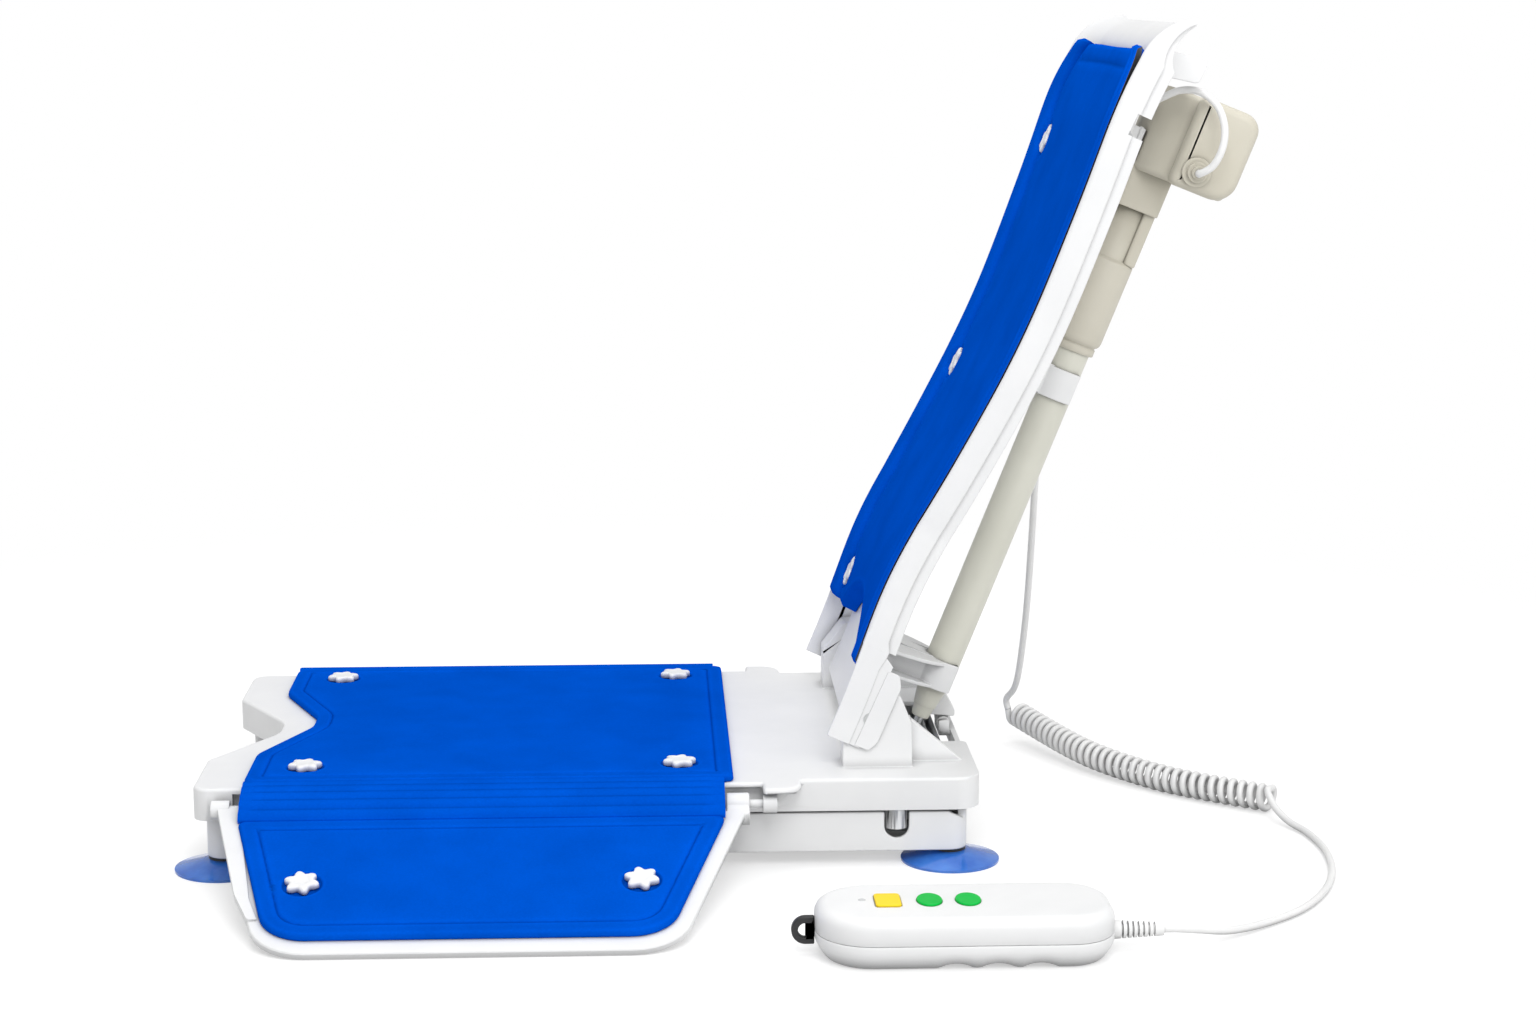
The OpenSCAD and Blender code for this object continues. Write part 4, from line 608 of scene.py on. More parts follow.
# Pads
def pad(name, corners, low, height, place, depths, field_gap=6.0, gap=4.0, extra=(), under=0.8, foot=1.2):
    """A closed pad over an outline, its flat points and their depths.

    height(points, depth) gives the top above low at each point, whose distance from the outline is depth;
    place maps (x, y, z) to the object's frame; extra holds more points, where detail needs them.
    """
    edge = even(rounded(corners), gap)
    normal = inward(edge)
    cloud = [edge]
    for d in depths:
        ring = edge + normal * d
        ok = inside(ring, edge) & (distance_to(ring, edge) > d - 0.08)
        cloud.append(ring[ok])
    lo, hi = edge.min(axis=0), edge.max(axis=0)
    gx, gy = np.meshgrid(np.arange(lo[0], hi[0], field_gap), np.arange(lo[1], hi[1], field_gap))
    grid = np.stack([gx.ravel() + 0.37, gy.ravel() + 0.21], 1)
    grid = grid[inside(grid, edge)]
    grid = grid[distance_to(grid, edge) > depths[-1] + field_gap * 0.6]
    for ring in extra:
        middle = ring.mean(axis=0)
        reach = np.linalg.norm(ring - middle, axis=1).max()
        grid = grid[np.linalg.norm(grid - middle, axis=1) > reach + 1.0]
        cloud = [cloud[0]] + [c[np.linalg.norm(c - middle, axis=1) > reach + 0.5] for c in cloud[1:]]
    points = np.vstack([*cloud, grid, *extra])
    n = len(edge)
    ties = [(i, (i + 1) % n) for i in range(n)]
    flat, _, faces, origin, _, _ = delaunay_2d_cdt([tuple(p) for p in points], ties, [], 1, 1e-4)
    flat = np.array([tuple(p) for p in flat])
    rim = {o: i for i, made in enumerate(origin) for o in made if o < n}
    depth = distance_to(flat, edge)
    verts = [place(x, y, low + z) for (x, y), z in zip(flat, height(flat, depth))]
    loops = [[rim[i] for i in range(n)]]
    for inset, z in ((0.25, under), (foot, 0.0)):
        start = len(verts)
        verts += [place(x, y, low + z) for x, y in edge + normal * inset]
        loops.append(list(range(start, start + n)))
    faces = [tuple(f) for f in faces]
    for a, b in zip(loops, loops[1:]):
        faces += [(a[i], a[(i + 1) % n], b[(i + 1) % n], b[i]) for i in range(n)]
    faces.append(tuple(loops[-1]))
    return outward(mesh_object(name, verts, faces)), flat, depth


def swell(t):
    t = np.clip(t, 0, 1)
    return t * t * (3 - 2 * t)


COVER_T, COVER_EDGE, LINE_IN, COVER_FILL = 5.5, 2.2, 12.5, 0.9
PAD_DEPTHS = [0.4, 0.9, 1.6, 2.4, 3.4, 5, 7, 9, 10.3, 11.3, 12, 12.5, 13, 13.7, 14.7, 16.5, 20, 25]
KNOB_RING_R = (4.0, 9.0, 12.6, 13.2, 13.8, 14.5, 15.4, 17.0, 20.0)


def cover_height(knobs, edge_round):
    """Height of a thin padded cover.

    It has a round edge, a border band, a pressed line, a soft field and dents at the knobs.
    """
    def at(points, depth):
        t = np.clip(depth / edge_round, 0, 1)
        z = COVER_EDGE + (COVER_T - COVER_EDGE) * np.sqrt(1 - (1 - t) ** 2)
        z = z - 1.3 * np.exp(-((depth - LINE_IN) / 0.95) ** 2)
        z = z + 0.45 * swell((depth - LINE_IN) / 9) * (depth > LINE_IN)
        x, y = points[:, 0], points[:, 1]
        z = z + 0.16 * np.sin(x / 31 + 0.7) * np.sin(y / 27 + 0.4) * swell((depth - 14) / 20)
        for kx, ky in knobs:
            r = np.hypot(x - kx, y - ky)
            z = z - 0.5 * np.exp(-(r / 24) ** 2)
            z = z - 1.8 * swell((14.6 - r) / 1.8)
        return np.maximum(z, 1.0)
    return at


def make_cover(name, corners, low, knobs, edge_round, place, body, node):
    """A padded cover; its pressed line bounds the grained field, and the band outside it is smooth."""
    rings = [ellipse(x, y, r, r, 40) for x, y in knobs for r in KNOB_RING_R]
    obj, flat, depth = pad(name, corners, low, cover_height(knobs, edge_round), place, PAD_DEPTHS,
                           extra=rings)
    dress(obj, body, "blue_cover", node)
    paint(obj, MATERIALS["blue_cover"], BAND)
    for poly in obj.data.polygons:
        ids = [i for i in poly.vertices if i < len(flat)]
        if len(ids) < len(poly.vertices) or np.mean(depth[ids]) < LINE_IN:
            poly.material_index = 1


# Seat cover
SEAT_TOP = 67.0
FRONT_W, COVER_FRONT, COVER_REAR = 346.0, 249.0, 106.0
NOTCH_HALF, NOTCH_FLOOR_HALF, NOTCH_DEPTH = 96.0, 17.0, 33.0
SEAT_KNOBS = [(x, s * 136.0) for x in (-208.0, 67.0) for s in (1, -1)]
SEAT_OUTLINE = both_sides([[COVER_REAR, FRONT_W / 2 - 2, 5], [-COVER_FRONT, FRONT_W / 2 - 2, 8],
                           [-COVER_FRONT, NOTCH_HALF, 30],
                           [-COVER_FRONT + NOTCH_DEPTH, NOTCH_FLOOR_HALF, 45]])
make_cover("seat_cover_pad", SEAT_OUTLINE, SEAT_TOP, SEAT_KNOBS, 2.4, lambda x, y, z: (x, y, z),
           "seat", "seat_cover")

# Side flaps
HINGE_Y, HINGE_Z, FLAP_LEN, FLAP_T = 182.0, 54.0, 180.0, 5.0
FLAP_DROP = math.asin((HINGE_Z - 0.3) / math.hypot(FLAP_LEN, FLAP_T / 2)) - math.atan(FLAP_T / 2 / FLAP_LEN)
FLAP_COVER_X0, FLAP_COVER_X1 = -248.0, 99.0
FLAP_OUTLINE = [[FLAP_COVER_X1, 26.0, 3], [57.5, 167.0, 34.2], [-213.5, 167.0, 34.2],
                [FLAP_COVER_X0, 26.0, 3]]
FOLD_RIBS, FOLD_STEPS, FOLD_T = 5, 72, 2.6
LIP_OUTLINE = [(-266, 1.5), (-250, 1.5), (-229, 118), (-221, 142), (-228, 142), (-240, 112)]


def on_flap(side):
    c, s = math.cos(FLAP_DROP), math.sin(FLAP_DROP)
    return lambda x, y, z: (x, side * (HINGE_Y + y * c + z * s), HINGE_Z - y * s + z * c)


def make_fold_strip(side, end):
    """The ribbed strip between seat and flap."""
    a = np.array([FRONT_W / 2 - 1.6, SEAT_TOP + COVER_T - 0.3])
    b = np.array(on_flap(1)(0.0, 26.4, 7.6)[1:])
    n = np.array([b[1] - a[1], a[0] - b[0]]) / np.linalg.norm(b - a)
    top, low = [], []
    for k in range(FOLD_STEPS + 1):
        t = k / FOLD_STEPS
        rise = 4.5 * math.sin(math.pi * t)
        wave = 0.5 - 0.5 * math.cos(TAU * FOLD_RIBS * t)
        top.append(a + (b - a) * t - n * (rise + 0.9 * wave ** 0.45 - 0.1))
        low.append(a + (b - a) * t - n * rise + n * FOLD_T)
    section = top + low[::-1]
    rings = [[(x, side * p[0], p[1]) for p in section]
             for x in np.linspace(FLAP_COVER_X0, FLAP_COVER_X1, 42)]
    obj = outward(mesh_object("fold_strip_web_" + end, *loft(rings)))
    crisp(obj, 60)
    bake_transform(obj)
    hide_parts("fold_strip_" + end)
    paint(obj, BAND)


def make_flap_lips():
    """The raised rim at each flap's front edge, from the hinge to the front corner."""
    for side, end in FLAPS:
        put = on_flap(side)
        lip = joined("flap_lip_" + end, [slab(LIP_OUTLINE, -2.4, 4.2, lambda x, z, y: put(x, y, z))])
        sharpen(lip, 50)
        dress(lip, "flap_" + end, "white_plastic")


for flap_side, flap_end in FLAPS:
    make_cover("flap_cover_pad_" + flap_end, FLAP_OUTLINE, FLAP_T / 2, FLAP_KNOBS, 2.6, on_flap(flap_side),
               "flap_" + flap_end, "flap_cover_" + flap_end)
    make_fold_strip(flap_side, flap_end)

# Backrest cover
BACK_X, BACK_Z, BACK_TILT = 176.0, 93.0, math.radians(24)
BACK_LEN, BACK_HALF, BACK_FLARE, TRAY_DEPTH = 540.0, 139.0, 31.0, 18.0
ROLL_R, ROLL_ANGLE = 45.0, math.radians(66)
BACK_KNOB_U, BACK_KNOB_IN = (82.0, 272.0, 465.0), 40.0
FRONT_FACE = TRAY_DEPTH - 14.0
ARCH_HALF, ARCH_H, COVER_LOW, COVER_ROWS = 80.0, 32.0, 56.0, 150
ARCH_R = (ARCH_HALF ** 2 + ARCH_H ** 2) / (2 * ARCH_H)
COVER_TOP = BACK_LEN + ROLL_R * math.radians(12)
CORNER_FROM, CORNER_RUN, CORNER_IN, END_ROUND = 495.0, 55.0, 42.0, 4.0
# Each pressed line's distance from the edge, depth and width.
BACK_LINES = ((34.0, 2.0, 2.4), (12.0, 1.5, 1.7))
TOP_LINE_AT, TOP_LINE_DEPTH, TOP_LINE_WIDTH = 16.0, 1.5, 1.9
SECTIONS = {}


def back_bow(u):
    return (-6.5 * np.exp(-((u - 122) / 70) ** 2) + 6.4 * np.exp(-((u - 325) / 95) ** 2)
            - 4.5 * np.exp(-((u - 512) / 55) ** 2))


def back_w(u):
    return BACK_HALF + BACK_FLARE * np.clip((u - 170) / (BACK_LEN - 200), 0, 1) ** 0.8


def back_knob_y(u):
    return float(back_w(u)) - BACK_KNOB_IN


def on_back_flat(d, y, u):
    """A point of the backrest's upright frame, without its bow."""
    c, s = math.cos(BACK_TILT), math.sin(BACK_TILT)
    return (BACK_X + d * c + u * s, y, BACK_Z - d * s + u * c)


def on_back(d, y, u):
    """A point at depth d, across y and height u of the backrest, rolled over past its length."""
    over = max(0.0, u - BACK_LEN) / ROLL_R
    if over <= 0:
        return on_back_flat(back_bow(u) + d, y, u)
    x = back_bow(BACK_LEN) + ROLL_R - (ROLL_R - d) * math.cos(over)
    return on_back_flat(x, y, BACK_LEN + (ROLL_R - d) * math.sin(over))


def cover_section(w):
    """Front of the backrest cover from its middle to its edge, at half width w."""
    f = FRONT_FACE
    shape = [(f, 0), (f, 12), (f - 0.4, (w - 60) / 2), (f - 0.8, w - 72), (f - 0.6, w - 58),
             (f - 0.6, w - 40), (f + 0.6, w - 34), (f - 4, w - 28), (f - 6.5, w - 21), (f - 7.2, w - 15),
             (f - 6.2, w - 12), (f - 6.5, w - 9.5), (f - 5.6, w - 6.8), (f - 4.4, w - 6)]
    return route(shape, 6)


def cover_section_at(w, k):
    key = round(w, 2)
    if key not in SECTIONS:
        SECTIONS[key] = cover_section(key)
    return tuple(float(c) for c in SECTIONS[key][k])


def cover_point(v, k):
    """Depth, place across, height and half width of the cover's front in column k, v of the way up."""
    u = COVER_LOW
    for _ in range(3):
        t = max(0.0, (u - CORNER_FROM) / CORNER_RUN)
        w = float(back_w(min(u, BACK_LEN))) - CORNER_IN * (1 - math.sqrt(max(0.0, 1 - (0.97 * t) ** 2)))
        y = cover_section_at(w, k)[1]
        low = COVER_LOW
        if y < ARCH_HALF:
            low += math.sqrt(ARCH_R ** 2 - y ** 2) - ARCH_R + ARCH_H
        u = low + (COVER_TOP - low) * v
    d, y = cover_section_at(w, k)
    for inset, deep, wide in BACK_LINES:
        d += deep * math.exp(-((y - (w - inset)) / wide) ** 2)
    from_end = min(u - low, COVER_TOP - u)
    if from_end < END_ROUND:
        d += 3.0 * (1 - math.sqrt(max(0.0, 1 - (1 - from_end / END_ROUND) ** 2)))
    if y < w - 44:
        d += TOP_LINE_DEPTH * math.exp(-((COVER_TOP - u - TOP_LINE_AT) / TOP_LINE_WIDTH) ** 2)
    for ku in BACK_KNOB_U:
        r = math.hypot(u - ku, y - back_knob_y(ku))
        d += 3.6 * float(swell((14.8 - r) / 2.2)) + 0.5 * math.exp(-(r / 24) ** 2)
    return d, y, u, w


def make_backrest_cover():
    middle = len(cover_section(BACK_HALF)) - 1
    cols = 2 * middle + 1
    front, back = [], []
    for i in range(COVER_ROWS + 1):
        for j in range(cols):
            sign = -1 if j < middle else 1
            d, y, u, w = cover_point(i / COVER_ROWS, abs(j - middle))
            front.append(on_back(d, sign * y, u))
            back_y = y * (w - 13.2) / (w - 6)
            shrink = 1 - 0.8 * max(0.0, u - BACK_LEN) / ROLL_R / ROLL_ANGLE
            back_d = float(np.interp(back_y, [0, w - 35, w - 13.2], [17.6, 17.6, 4.8])) * shrink
            back.append(on_back(max(back_d, d + 0.4), sign * back_y, u))
    other = len(front)
    faces = []
    for i in range(COVER_ROWS):
        for j in range(cols - 1):
            a, b = i * cols + j, (i + 1) * cols + j
            faces.append((a, a + 1, b + 1, b))
            faces.append((other + a, other + b, other + b + 1, other + a + 1))
        for j in (0, cols - 1):
            a, b = i * cols + j, (i + 1) * cols + j
            faces.append((a, b, other + b, other + a))
    for i in (0, COVER_ROWS):
        for j in range(cols - 1):
            a = i * cols + j
            faces.append((a, a + 1, other + a + 1, other + a))
    obj = outward(mesh_object("backrest_cover_pad", front + back, faces))
    crisp(obj, 55)
    dress(obj, "backrest", "blue_cover", "backrest_cover")
    # Painted shadow: the outermost columns and side walls take the black rubber, as the shade of the gap
    # between cover and shell.
    paint(obj, MATERIALS["blue_cover"], MATERIALS["black_rubber"])
    shadow_gap_cols = (0, 1, 2, cols - 3, cols - 2, cols - 1)
    for poly in obj.data.polygons:
        if all(i % cols in shadow_gap_cols for i in poly.vertices):
            poly.material_index = 1


make_backrest_cover()
make_flap_lips()

# Backrest shell
RIM = [(0.0, -3.2), (0.25, -1.9), (0.9, -0.9), (1.9, -0.25), (3.2, 0), (16.6, 0), (17.6, -0.4), (18.0, -1.4),
       (18.0, -4.4), (18.5, -5.0), (25.8, -5.0), (26.7, -5.4), (27.0, -6.2), (27.0, -7.6), (26.2, -8.5),
       (12.0, -9.6), (10.0, -10.6), (11.0, -12.2), (21.0, -30.0), (22.0, -33.0)]
RIM_FRONT = [(18.0, -36.0), (17.2, -33.0), (6.2, -14.6), (5.2, -12.6), (1.2, -5.0), (0.4, -4.2)]
SHELL_LOW, SHELL_STEP = 74.0, 6.0
SLOT_LOW, SLOT_HIGH = 488.0, 504.0
FOOT_IN, RIM_OUT, BAND_OUT, BRACKET_OUT, TONGUE_HALF = 135.2, 138.95, 137.4, 138.1, 99.7
BRACKET_OUTLINE = [(22, 62), (31, 62), (36, 54), (37, 9), (33, 1), (22, 1)]


def shell_ring(run):
    """One cross section of the shell, at a length along the back and over the roll."""
    t = max(0.0, run - BACK_LEN) / ROLL_R / ROLL_ANGLE
    w = float(back_w(min(run, BACK_LEN))) - 14 * (1 - math.sqrt(1 - (0.95 * t) ** 2))
    k = 1 - 0.8 * t
    outer = [(d * k, w + y) for d, y in RIM]
    front = [(d * k, w + y) for d, y in RIM_FRONT]
    loop = outer + [(d, -y) for d, y in reversed(outer)] + [(d, -y) for d, y in reversed(front)] + front
    return [on_back(d, y, run) for d, y in loop]


def cut(obj, low, high, place):
    """Cut a box out of an object and apply the result."""
    corners = [place(x, y, z) for x in (low[0], high[0]) for y in (low[1], high[1])
               for z in (low[2], high[2])]
    sides = [(0, 1, 3, 2), (4, 6, 7, 5), (0, 4, 5, 1), (2, 3, 7, 6), (0, 2, 6, 4), (1, 5, 7, 3)]
    box = outward(mesh_object("cutter", corners, sides, False))
    mod = obj.modifiers.new("cut", "BOOLEAN")
    mod.object = box
    mod.operation = "DIFFERENCE"
    mod.solver = "EXACT"
    applied(obj)
    bpy.data.objects.remove(box)


def make_shell():
    over = [BACK_LEN + ROLL_R * ROLL_ANGLE * k / 18 for k in range(19)]
    runs = [SHELL_LOW] + list(np.arange(80.0, BACK_LEN, SHELL_STEP)) + over
    obj = outward(mesh_object("backrest_shell_form", *loft([shell_ring(r) for r in runs])))
    w = float(back_w(SLOT_LOW))
    turn = float(back_bow((SLOT_LOW + SLOT_HIGH) / 2))
    for side in (1, -1):
        cut(obj, (15 + turn, side * (w - 9), SLOT_LOW), (29 + turn, side * (w + 4), SLOT_HIGH),
            on_back_flat)
    crisp(obj, 48)
    dress(obj, "backrest", "white_plastic", "backrest_shell")


def make_shell_foot():
    """The tongue below the shell and the stepped flanges at its sides."""
    bow = [(float(back_bow(u)), u) for u in np.linspace(0, 84, 8)]
    foot_bow = bow[:6]
    tongue = [(b + 18.4, u) for b, u in bow] + [(b + 21.6, u) for b, u in reversed(bow)]
    shells = [slab(tongue, -TONGUE_HALF, TONGUE_HALF, on_back_flat)]
    rim = [(b + 0.3, u) for b, u in bow] + [(12, 84), (17, 74)]
    rim += [(b + 18, u) for b, u in reversed(foot_bow)]
    band = [(14, 72), (24, 66)] + [(b + 27, u) for b, u in reversed(foot_bow)]
    band += [(b + 14, u) for b, u in foot_bow]
    for side in (1, -1):
        for outline, outer in ((rim, RIM_OUT), (band, BAND_OUT), (BRACKET_OUTLINE, BRACKET_OUT)):
            shells.append(slab(outline, *sorted((side * FOOT_IN, side * outer)), on_back_flat))
    foot = joined("backrest_shell_foot", shells)
    sharpen(foot, 50)
    dress(foot, "backrest", "white_plastic")


# Drive housings
MOTOR_LOW, MOTOR_HIGH, GEAR_TOP = 458.0, 525.0, 440.0
MOTOR_OUTLINE = [[55, -46, 8], [55, 46, 14], [-16, 46, 14], [-16, -46, 38]]
MOTOR_FACE = [[8, 457, 5], [57, 457, 17], [57, 526, 14], [8, 526, 5]]
MOTOR_LIP = [[8.7, 457.7, 5], [56.3, 457.7, 16.3], [56.3, 525.3, 13.3], [8.7, 525.3, 5]]
SLEEVE = [(16.0, 312.0), (16.6, 312.5), (16.6, 317.5), (15.6, 318.2), (15.8, 319.0), (17.4, 320.0),
          (18.5, 321.8), (19.0, 324.5), (19.0, 386.0), (18.6, 386.9), (14.4, 388.6), (14.0, 389.4),
          (14.0, GEAR_TOP)]
GEAR_RIB = [[8.5, -13.4, 1], [18, -13.4, 2.5], [18, 13.4, 2.5], [8.5, 13.4, 1]]
GEAR_BLOCK = [[-19, -18, 8], [19, -18, 5], [19, 18, 5], [-19, 18, 8]]


def on_drive(x, y, z):
    p = NOSE + x * DRIVE_BACK + z * DRIVE_UP
    return (p[0], y, p[2])


def beside_drive(x, z, y):
    return on_drive(x, y, z)


def make_motor():
    shell = block(MOTOR_OUTLINE, MOTOR_LOW, MOTOR_HIGH, 5, 5, on_drive)
    dress(joined("motor_housing_form", [shell]), "backrest", "greige_plastic", "motor_housing")
    face = block(MOTOR_FACE, -62, -46.6, 7, 1.2, beside_drive)
    lip = block(MOTOR_LIP, -47.2, -44, 0.3, 0.3, beside_drive)
    dress(joined("motor_cover_form", [face, lip]), "backrest", "greige_plastic", "motor_cover")


def make_gear():
    """The gear housing: a sleeve round the tube, a narrower body with a rib, the block below the motor."""
    sleeve = lathe(SLEEVE, on_drive, 64)
    rib = block(GEAR_RIB, 387, GEAR_TOP, 2, 1, on_drive)
    seat = block(GEAR_BLOCK, 429, 461, 1.2, 1, on_drive)
    dress(joined("gear_housing_form", [sleeve, rib, seat]), "backrest", "greige_plastic", "gear_housing")


make_motor()
make_gear()

# Star knobs
KNOB_R, KNOB_SINK, STEM_R = 12.5, 1.2, 5.0
SEAT_STACK, BACK_STACK, BACK_KNOB_LIFT = 4.0, 5.0, 11.3
HEAD = [(0.9, 0.0), (1.0, 0.5), (1.0, 3.1), (0.97, 3.9), (0.91, 4.5), (0.82, 4.85), (0.7, 5.0), (0.5, 4.95),
        (0.44, 4.7), (0.4, 4.55), (0.2, 4.6), (0.02, 4.62)]


def star(angle, r):
    """Six rounded lobes that fade towards the middle."""
    lobes = 0.152 * min(1.0, max(0.0, (r / KNOB_R - 0.35) / 0.4))
    return r * (1 - lobes + lobes * math.cos(6 * (angle - math.radians(15))))


def knob_shells(place, stack, cover):
    """A knob's head on a cover, and its stem through the stack below."""
    low = cover - KNOB_SINK
    head = lathe([(KNOB_R * r, low + z) for r, z in HEAD], place, 72, star)
    stem = lathe([(STEM_R + 1.4, -stack - 3), (STEM_R + 2, -stack - 2.5), (STEM_R + 2, -stack - 0.8),
                  (STEM_R + 1.5, -stack - 0.35), (STEM_R, -stack - 0.3), (STEM_R, low - 0.05)], place, 32)
    return [head, stem]


def make_knobs():
    shells = []
    for x, y in SEAT_KNOBS:
        shells += knob_shells(lambda a, b, c, x=x, y=y: (x + a, y + b, SEAT_TOP + c), SEAT_STACK, COVER_T)
    dress(joined("seat_star_knobs", shells), "seat", "white_plastic", "seat_knobs")
    for side, end in FLAPS:
        put = on_flap(side)
        shells = []
        for x, y in FLAP_KNOBS:
            shells += knob_shells(lambda a, b, c, x=x, y=y: put(x + a, y + b, FLAP_T / 2 + c),
                                  FLAP_T, COVER_T)
        dress(joined("flap_star_knobs_" + end, shells), "flap_" + end, "white_plastic", "flap_knobs_" + end)
    shells = []
    for u in BACK_KNOB_U:
        depth = TRAY_DEPTH + float(back_bow(u))
        for side in (-1, 1):
            y = side * back_knob_y(u)
            shells += knob_shells(
                lambda a, b, c, y=y, u=u, depth=depth: on_back_flat(depth - c, y + b, u + a),
                BACK_STACK, BACK_KNOB_LIFT)
    dress(joined("backrest_star_knobs", shells), "backrest", "white_plastic", "backrest_knobs")


make_knobs()
make_shell()
make_shell_foot()

# Hand control
HAND_CORNERS = both_sides([[HAND_X + HAND_LEN, HAND_W / 2, 32], [HAND_X, HAND_W / 2, HAND_W / 2 - 4]])
KEYS = [(HAND_X + 49, "square"), (HAND_X + 77, "oval"), (HAND_X + 103, "oval")]
KEY_HALF_W, KEY_HALF_LEN, KEY_SINK = 8.7, 13.0, 2.6
TOP_EDGE, TOP_ROUND = 9.5, 8.0
HAND_DEPTHS = [0.15, 0.4, 0.8, 1.4, 2.1, 3, 4, 5.2, 6.5, 8, 10]
HAND_LEVELS = [(0.6, 17.8), (0.15, 17.5), (0.0, 16.8), (0.0, 13.0), (0.9, 10.5), (2.2, 8.0), (4.0, 5.0),
               (5.6, 2.8), (7.4, 1.0), (9.0, 0.2), (11.0, 0.0), (18.0, 0.0)]
GRIP_R, GRIP_DROP, GRIP_TOP, GRIPS = 24.0, 21.0, 12.0, (92, 120, 148)
LAMP_X, LAMP_Y = HAND_X + 32, HAND_Y + 3
LAMP = [(2.6, -0.6), (2.6, 0.1), (2.3, 0.3), (1.6, 0.3), (1.3, 0.1), (0.9, 0.25), (0.3, 0.35)]


def key_outline(x, kind, grow):
    w, length = KEY_HALF_W + grow, KEY_HALF_LEN + grow
    if kind == "square":
        corners = [[x + w, -length, 3], [x + w, length, 3], [x - w, length, 3], [x - w, -length, 3]]
        return even(rounded(corners, 6), 1.6)
    return ellipse(x, 0.0, w, length, 48)


def hand_height(points, depth):
    """Height of the upper shell above the seam, with a recess for each key."""
    t = np.clip(depth / TOP_ROUND, 0, 1)
    z = TOP_EDGE + (HAND_H - HAND_SEAM - TOP_EDGE) * np.sqrt(1 - (1 - t) ** 2)
    for x, kind in KEYS:
        z = np.where(inside(points, key_outline(x, kind, 0.15)), z - KEY_SINK, z)
    return z


def grip_lift(x):
    """How far the finger grips rise into the lower shell at a place along it."""
    heights = [math.sqrt(max(0.0, GRIP_R ** 2 - (x - HAND_X - c) ** 2)) - GRIP_DROP for c in GRIPS]
    return max(0.0, max(heights))


def make_handset():
    rings = [key_outline(x, kind, grow) for x, kind in KEYS for grow in (-2.0, 0.05, 0.3, 0.8)]
    obj, _, _ = pad("handset_top_shell", HAND_CORNERS, HAND_SEAM, hand_height,
                    lambda x, y, z: (x, y + HAND_Y, z), HAND_DEPTHS, 7.0, 3.0, rings, under=0.4, foot=0.6)
    crisp(obj, 50)
    dress(obj, "handset", "white_plastic", "handset_top")

    edge = even(rounded(HAND_CORNERS), 3.0)
    rings = [[(x, y + HAND_Y, z + grip_lift(x) * max(0.0, 1 - z / GRIP_TOP))
              for x, y in edge + inward(edge) * inset] for inset, z in HAND_LEVELS]
    obj = outward(mesh_object("handset_bottom_shell", *loft(rings)))
    crisp(obj, 60)
    dress(obj, "handset", "white_plastic", "handset_bottom")

    lamp = joined("handset_lamp", [lathe(LAMP, lambda a, b, c: (LAMP_X + a, LAMP_Y + b, HAND_H + c), 32)])
    dress(lamp, "handset", "cord_white")
    paint(lamp, moulded("lamp_lens", (0.55, 0.56, 0.57), (0.66, 0.67, 0.68), (0.15, 0.25)))


make_handset()

# Stage and light
FLOOR_SIZE, FLOOR_DROP, FLOOR_SHADE, FLOOR_GLOW = 40.0, 0.0002, 0.6, 0.5
FLOOR_NEAR, FLOOR_FAR = 0.55, 1.25
SKY_LEVEL = 0.55
# Each lamp's name, place, aim, size and power.
LAMPS = [("key", (0.3, -2.6, 2.7), (0.1, 0, 0.15), 1.6, 45),
         ("fill", (1.8, -2.7, 1.3), (0.2, 0, 0.3), 2.4, 25),
         ("top", (0.3, 0.2, 3.0), (0.1, 0, 0), 2.4, 34)]


def seen_by_eye(tree, *rays):
    """1 where a ray comes from the camera or is of a kind named."""
    path = tree.nodes.new("ShaderNodeLightPath")
    total = path.outputs["Is Camera Ray"]
    for name in rays:
        add = tree.nodes.new("ShaderNodeMath")
        add.operation = "ADD"
        add.use_clamp = True
        tree.links.new(total, add.inputs[0])
        tree.links.new(path.outputs[name], add.inputs[1])
        total = add.outputs[0]
    return total


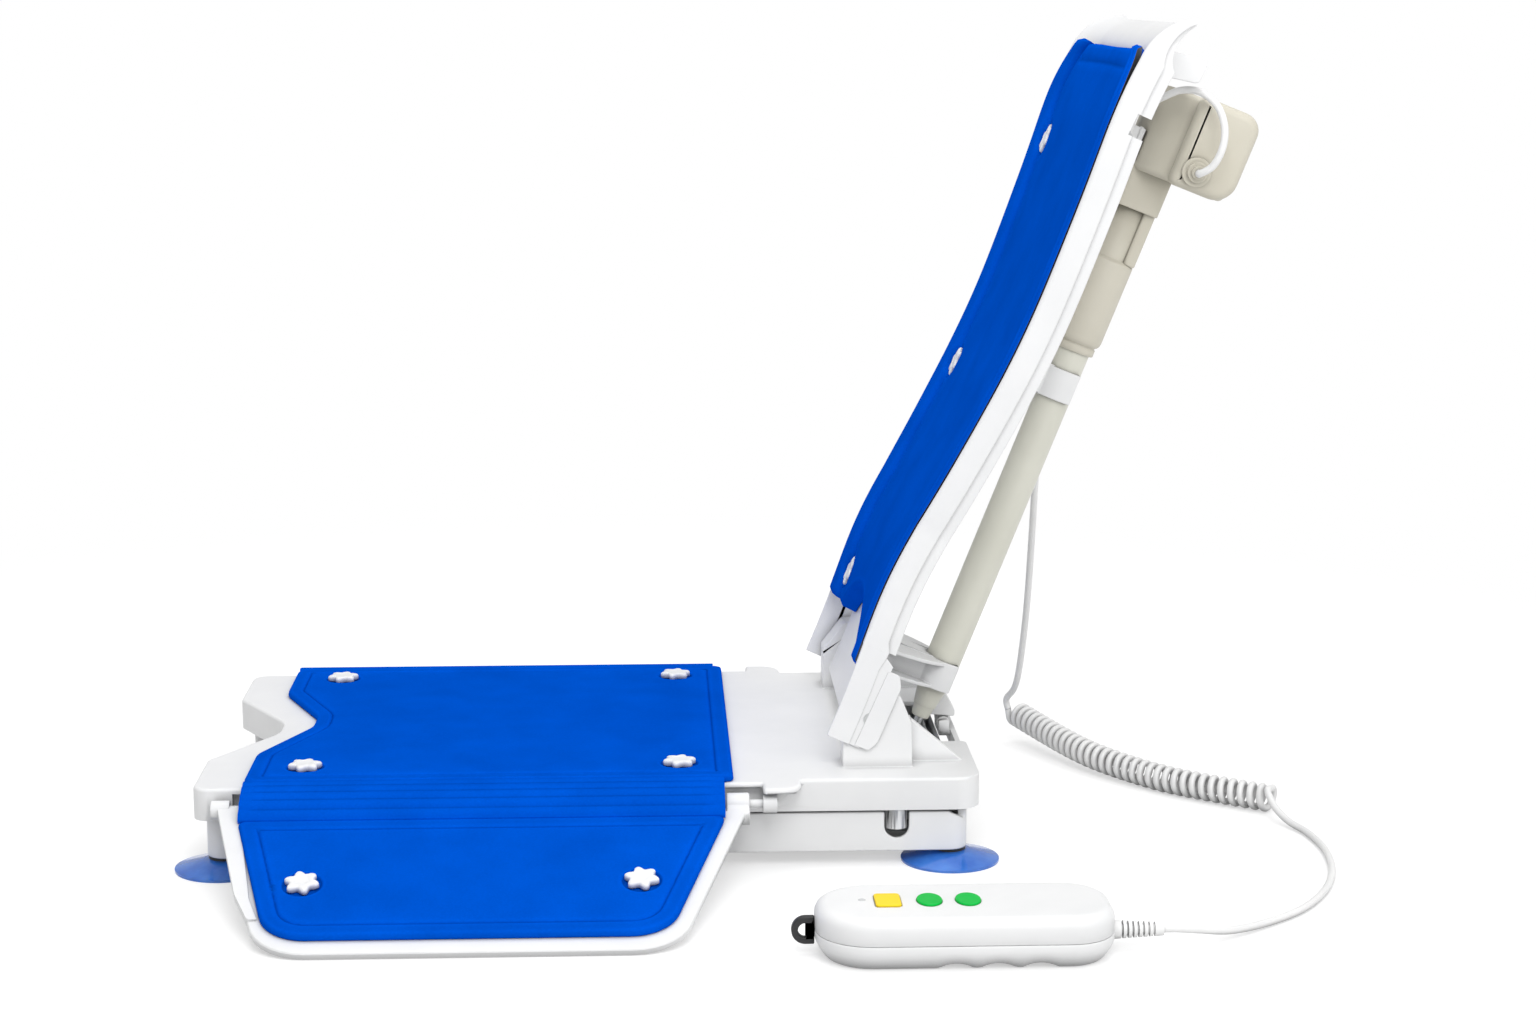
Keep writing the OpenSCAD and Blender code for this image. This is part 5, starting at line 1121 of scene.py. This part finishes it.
def make_floor():
    """A pale floor that takes the object's shadow nearby and turns to plain white further off."""
    mesh = bpy.data.meshes.new("floor")
    corners = [(-1, -1), (1, -1), (1, 1), (-1, 1)]
    mesh.from_pydata([(x * FLOOR_SIZE, y * FLOOR_SIZE, 0) for x, y in corners], [], [(0, 1, 2, 3)])
    floor = bpy.data.objects.new("floor", mesh)
    floor.location.z = -FLOOR_DROP
    SCENE.collection.objects.link(floor)
    mat, tree, bsdf, coords = new_material("pale_floor")
    tree.nodes.remove(bsdf)
    shade = tree.nodes.new("ShaderNodeBsdfDiffuse")
    shade.inputs["Color"].default_value = (FLOOR_SHADE, FLOOR_SHADE, FLOOR_SHADE, 1)
    glow = tree.nodes.new("ShaderNodeEmission")
    near = tree.nodes.new("ShaderNodeAddShader")
    tree.links.new(shade.outputs[0], near.inputs[0])
    tree.links.new(glow.outputs[0], near.inputs[1])
    power = tree.nodes.new("ShaderNodeMath")
    power.operation = "MULTIPLY"
    power.inputs[1].default_value = FLOOR_GLOW
    tree.links.new(seen_by_eye(tree, "Is Glossy Ray", "Is Transmission Ray"), power.inputs[0])
    tree.links.new(power.outputs[0], glow.inputs["Strength"])
    far = tree.nodes.new("ShaderNodeEmission")
    far.inputs["Strength"].default_value = 1.0
    reach = tree.nodes.new("ShaderNodeVectorMath")
    reach.operation = "LENGTH"
    link(tree, coords, "Object", reach, "Vector")
    edge = tree.nodes.new("ShaderNodeMapRange")
    edge.interpolation_type = "SMOOTHSTEP"
    edge.inputs["From Min"].default_value = FLOOR_NEAR
    edge.inputs["From Max"].default_value = FLOOR_FAR
    tree.links.new(reach.outputs["Value"], edge.inputs["Value"])
    mix = tree.nodes.new("ShaderNodeMixShader")
    for source, socket in zip((edge, near, far), mix.inputs):
        tree.links.new(source.outputs[0], socket)
    link(tree, mix, 0, tree.nodes["Material Output"], "Surface")
    mesh.materials.append(mat)


def make_light():
    world = bpy.data.worlds.new("studio")
    SCENE.world = world
    world.use_nodes = True
    tree = world.node_tree
    back = tree.nodes["Background"]
    back.inputs["Color"].default_value = (1, 1, 1, 1)
    level = tree.nodes.new("ShaderNodeMapRange")
    level.inputs["To Min"].default_value = SKY_LEVEL
    level.inputs["To Max"].default_value = 1.0
    tree.links.new(seen_by_eye(tree, "Is Transmission Ray"), level.inputs["Value"])
    tree.links.new(level.outputs[0], back.inputs["Strength"])
    for name, place, aim, size, power in LAMPS:
        data = bpy.data.lights.new(name, "AREA")
        data.shape = "SQUARE"
        data.size = size
        data.energy = power
        lamp = bpy.data.objects.new(name, data)
        lamp.location = place
        way = np.array(aim) - np.array(place)
        lamp.rotation_euler = (math.acos(-way[2] / np.linalg.norm(way)), 0, math.atan2(-way[0], way[1]))
        SCENE.collection.objects.link(lamp)


make_floor()
make_light()
SCENE.view_settings.view_transform = "Standard"
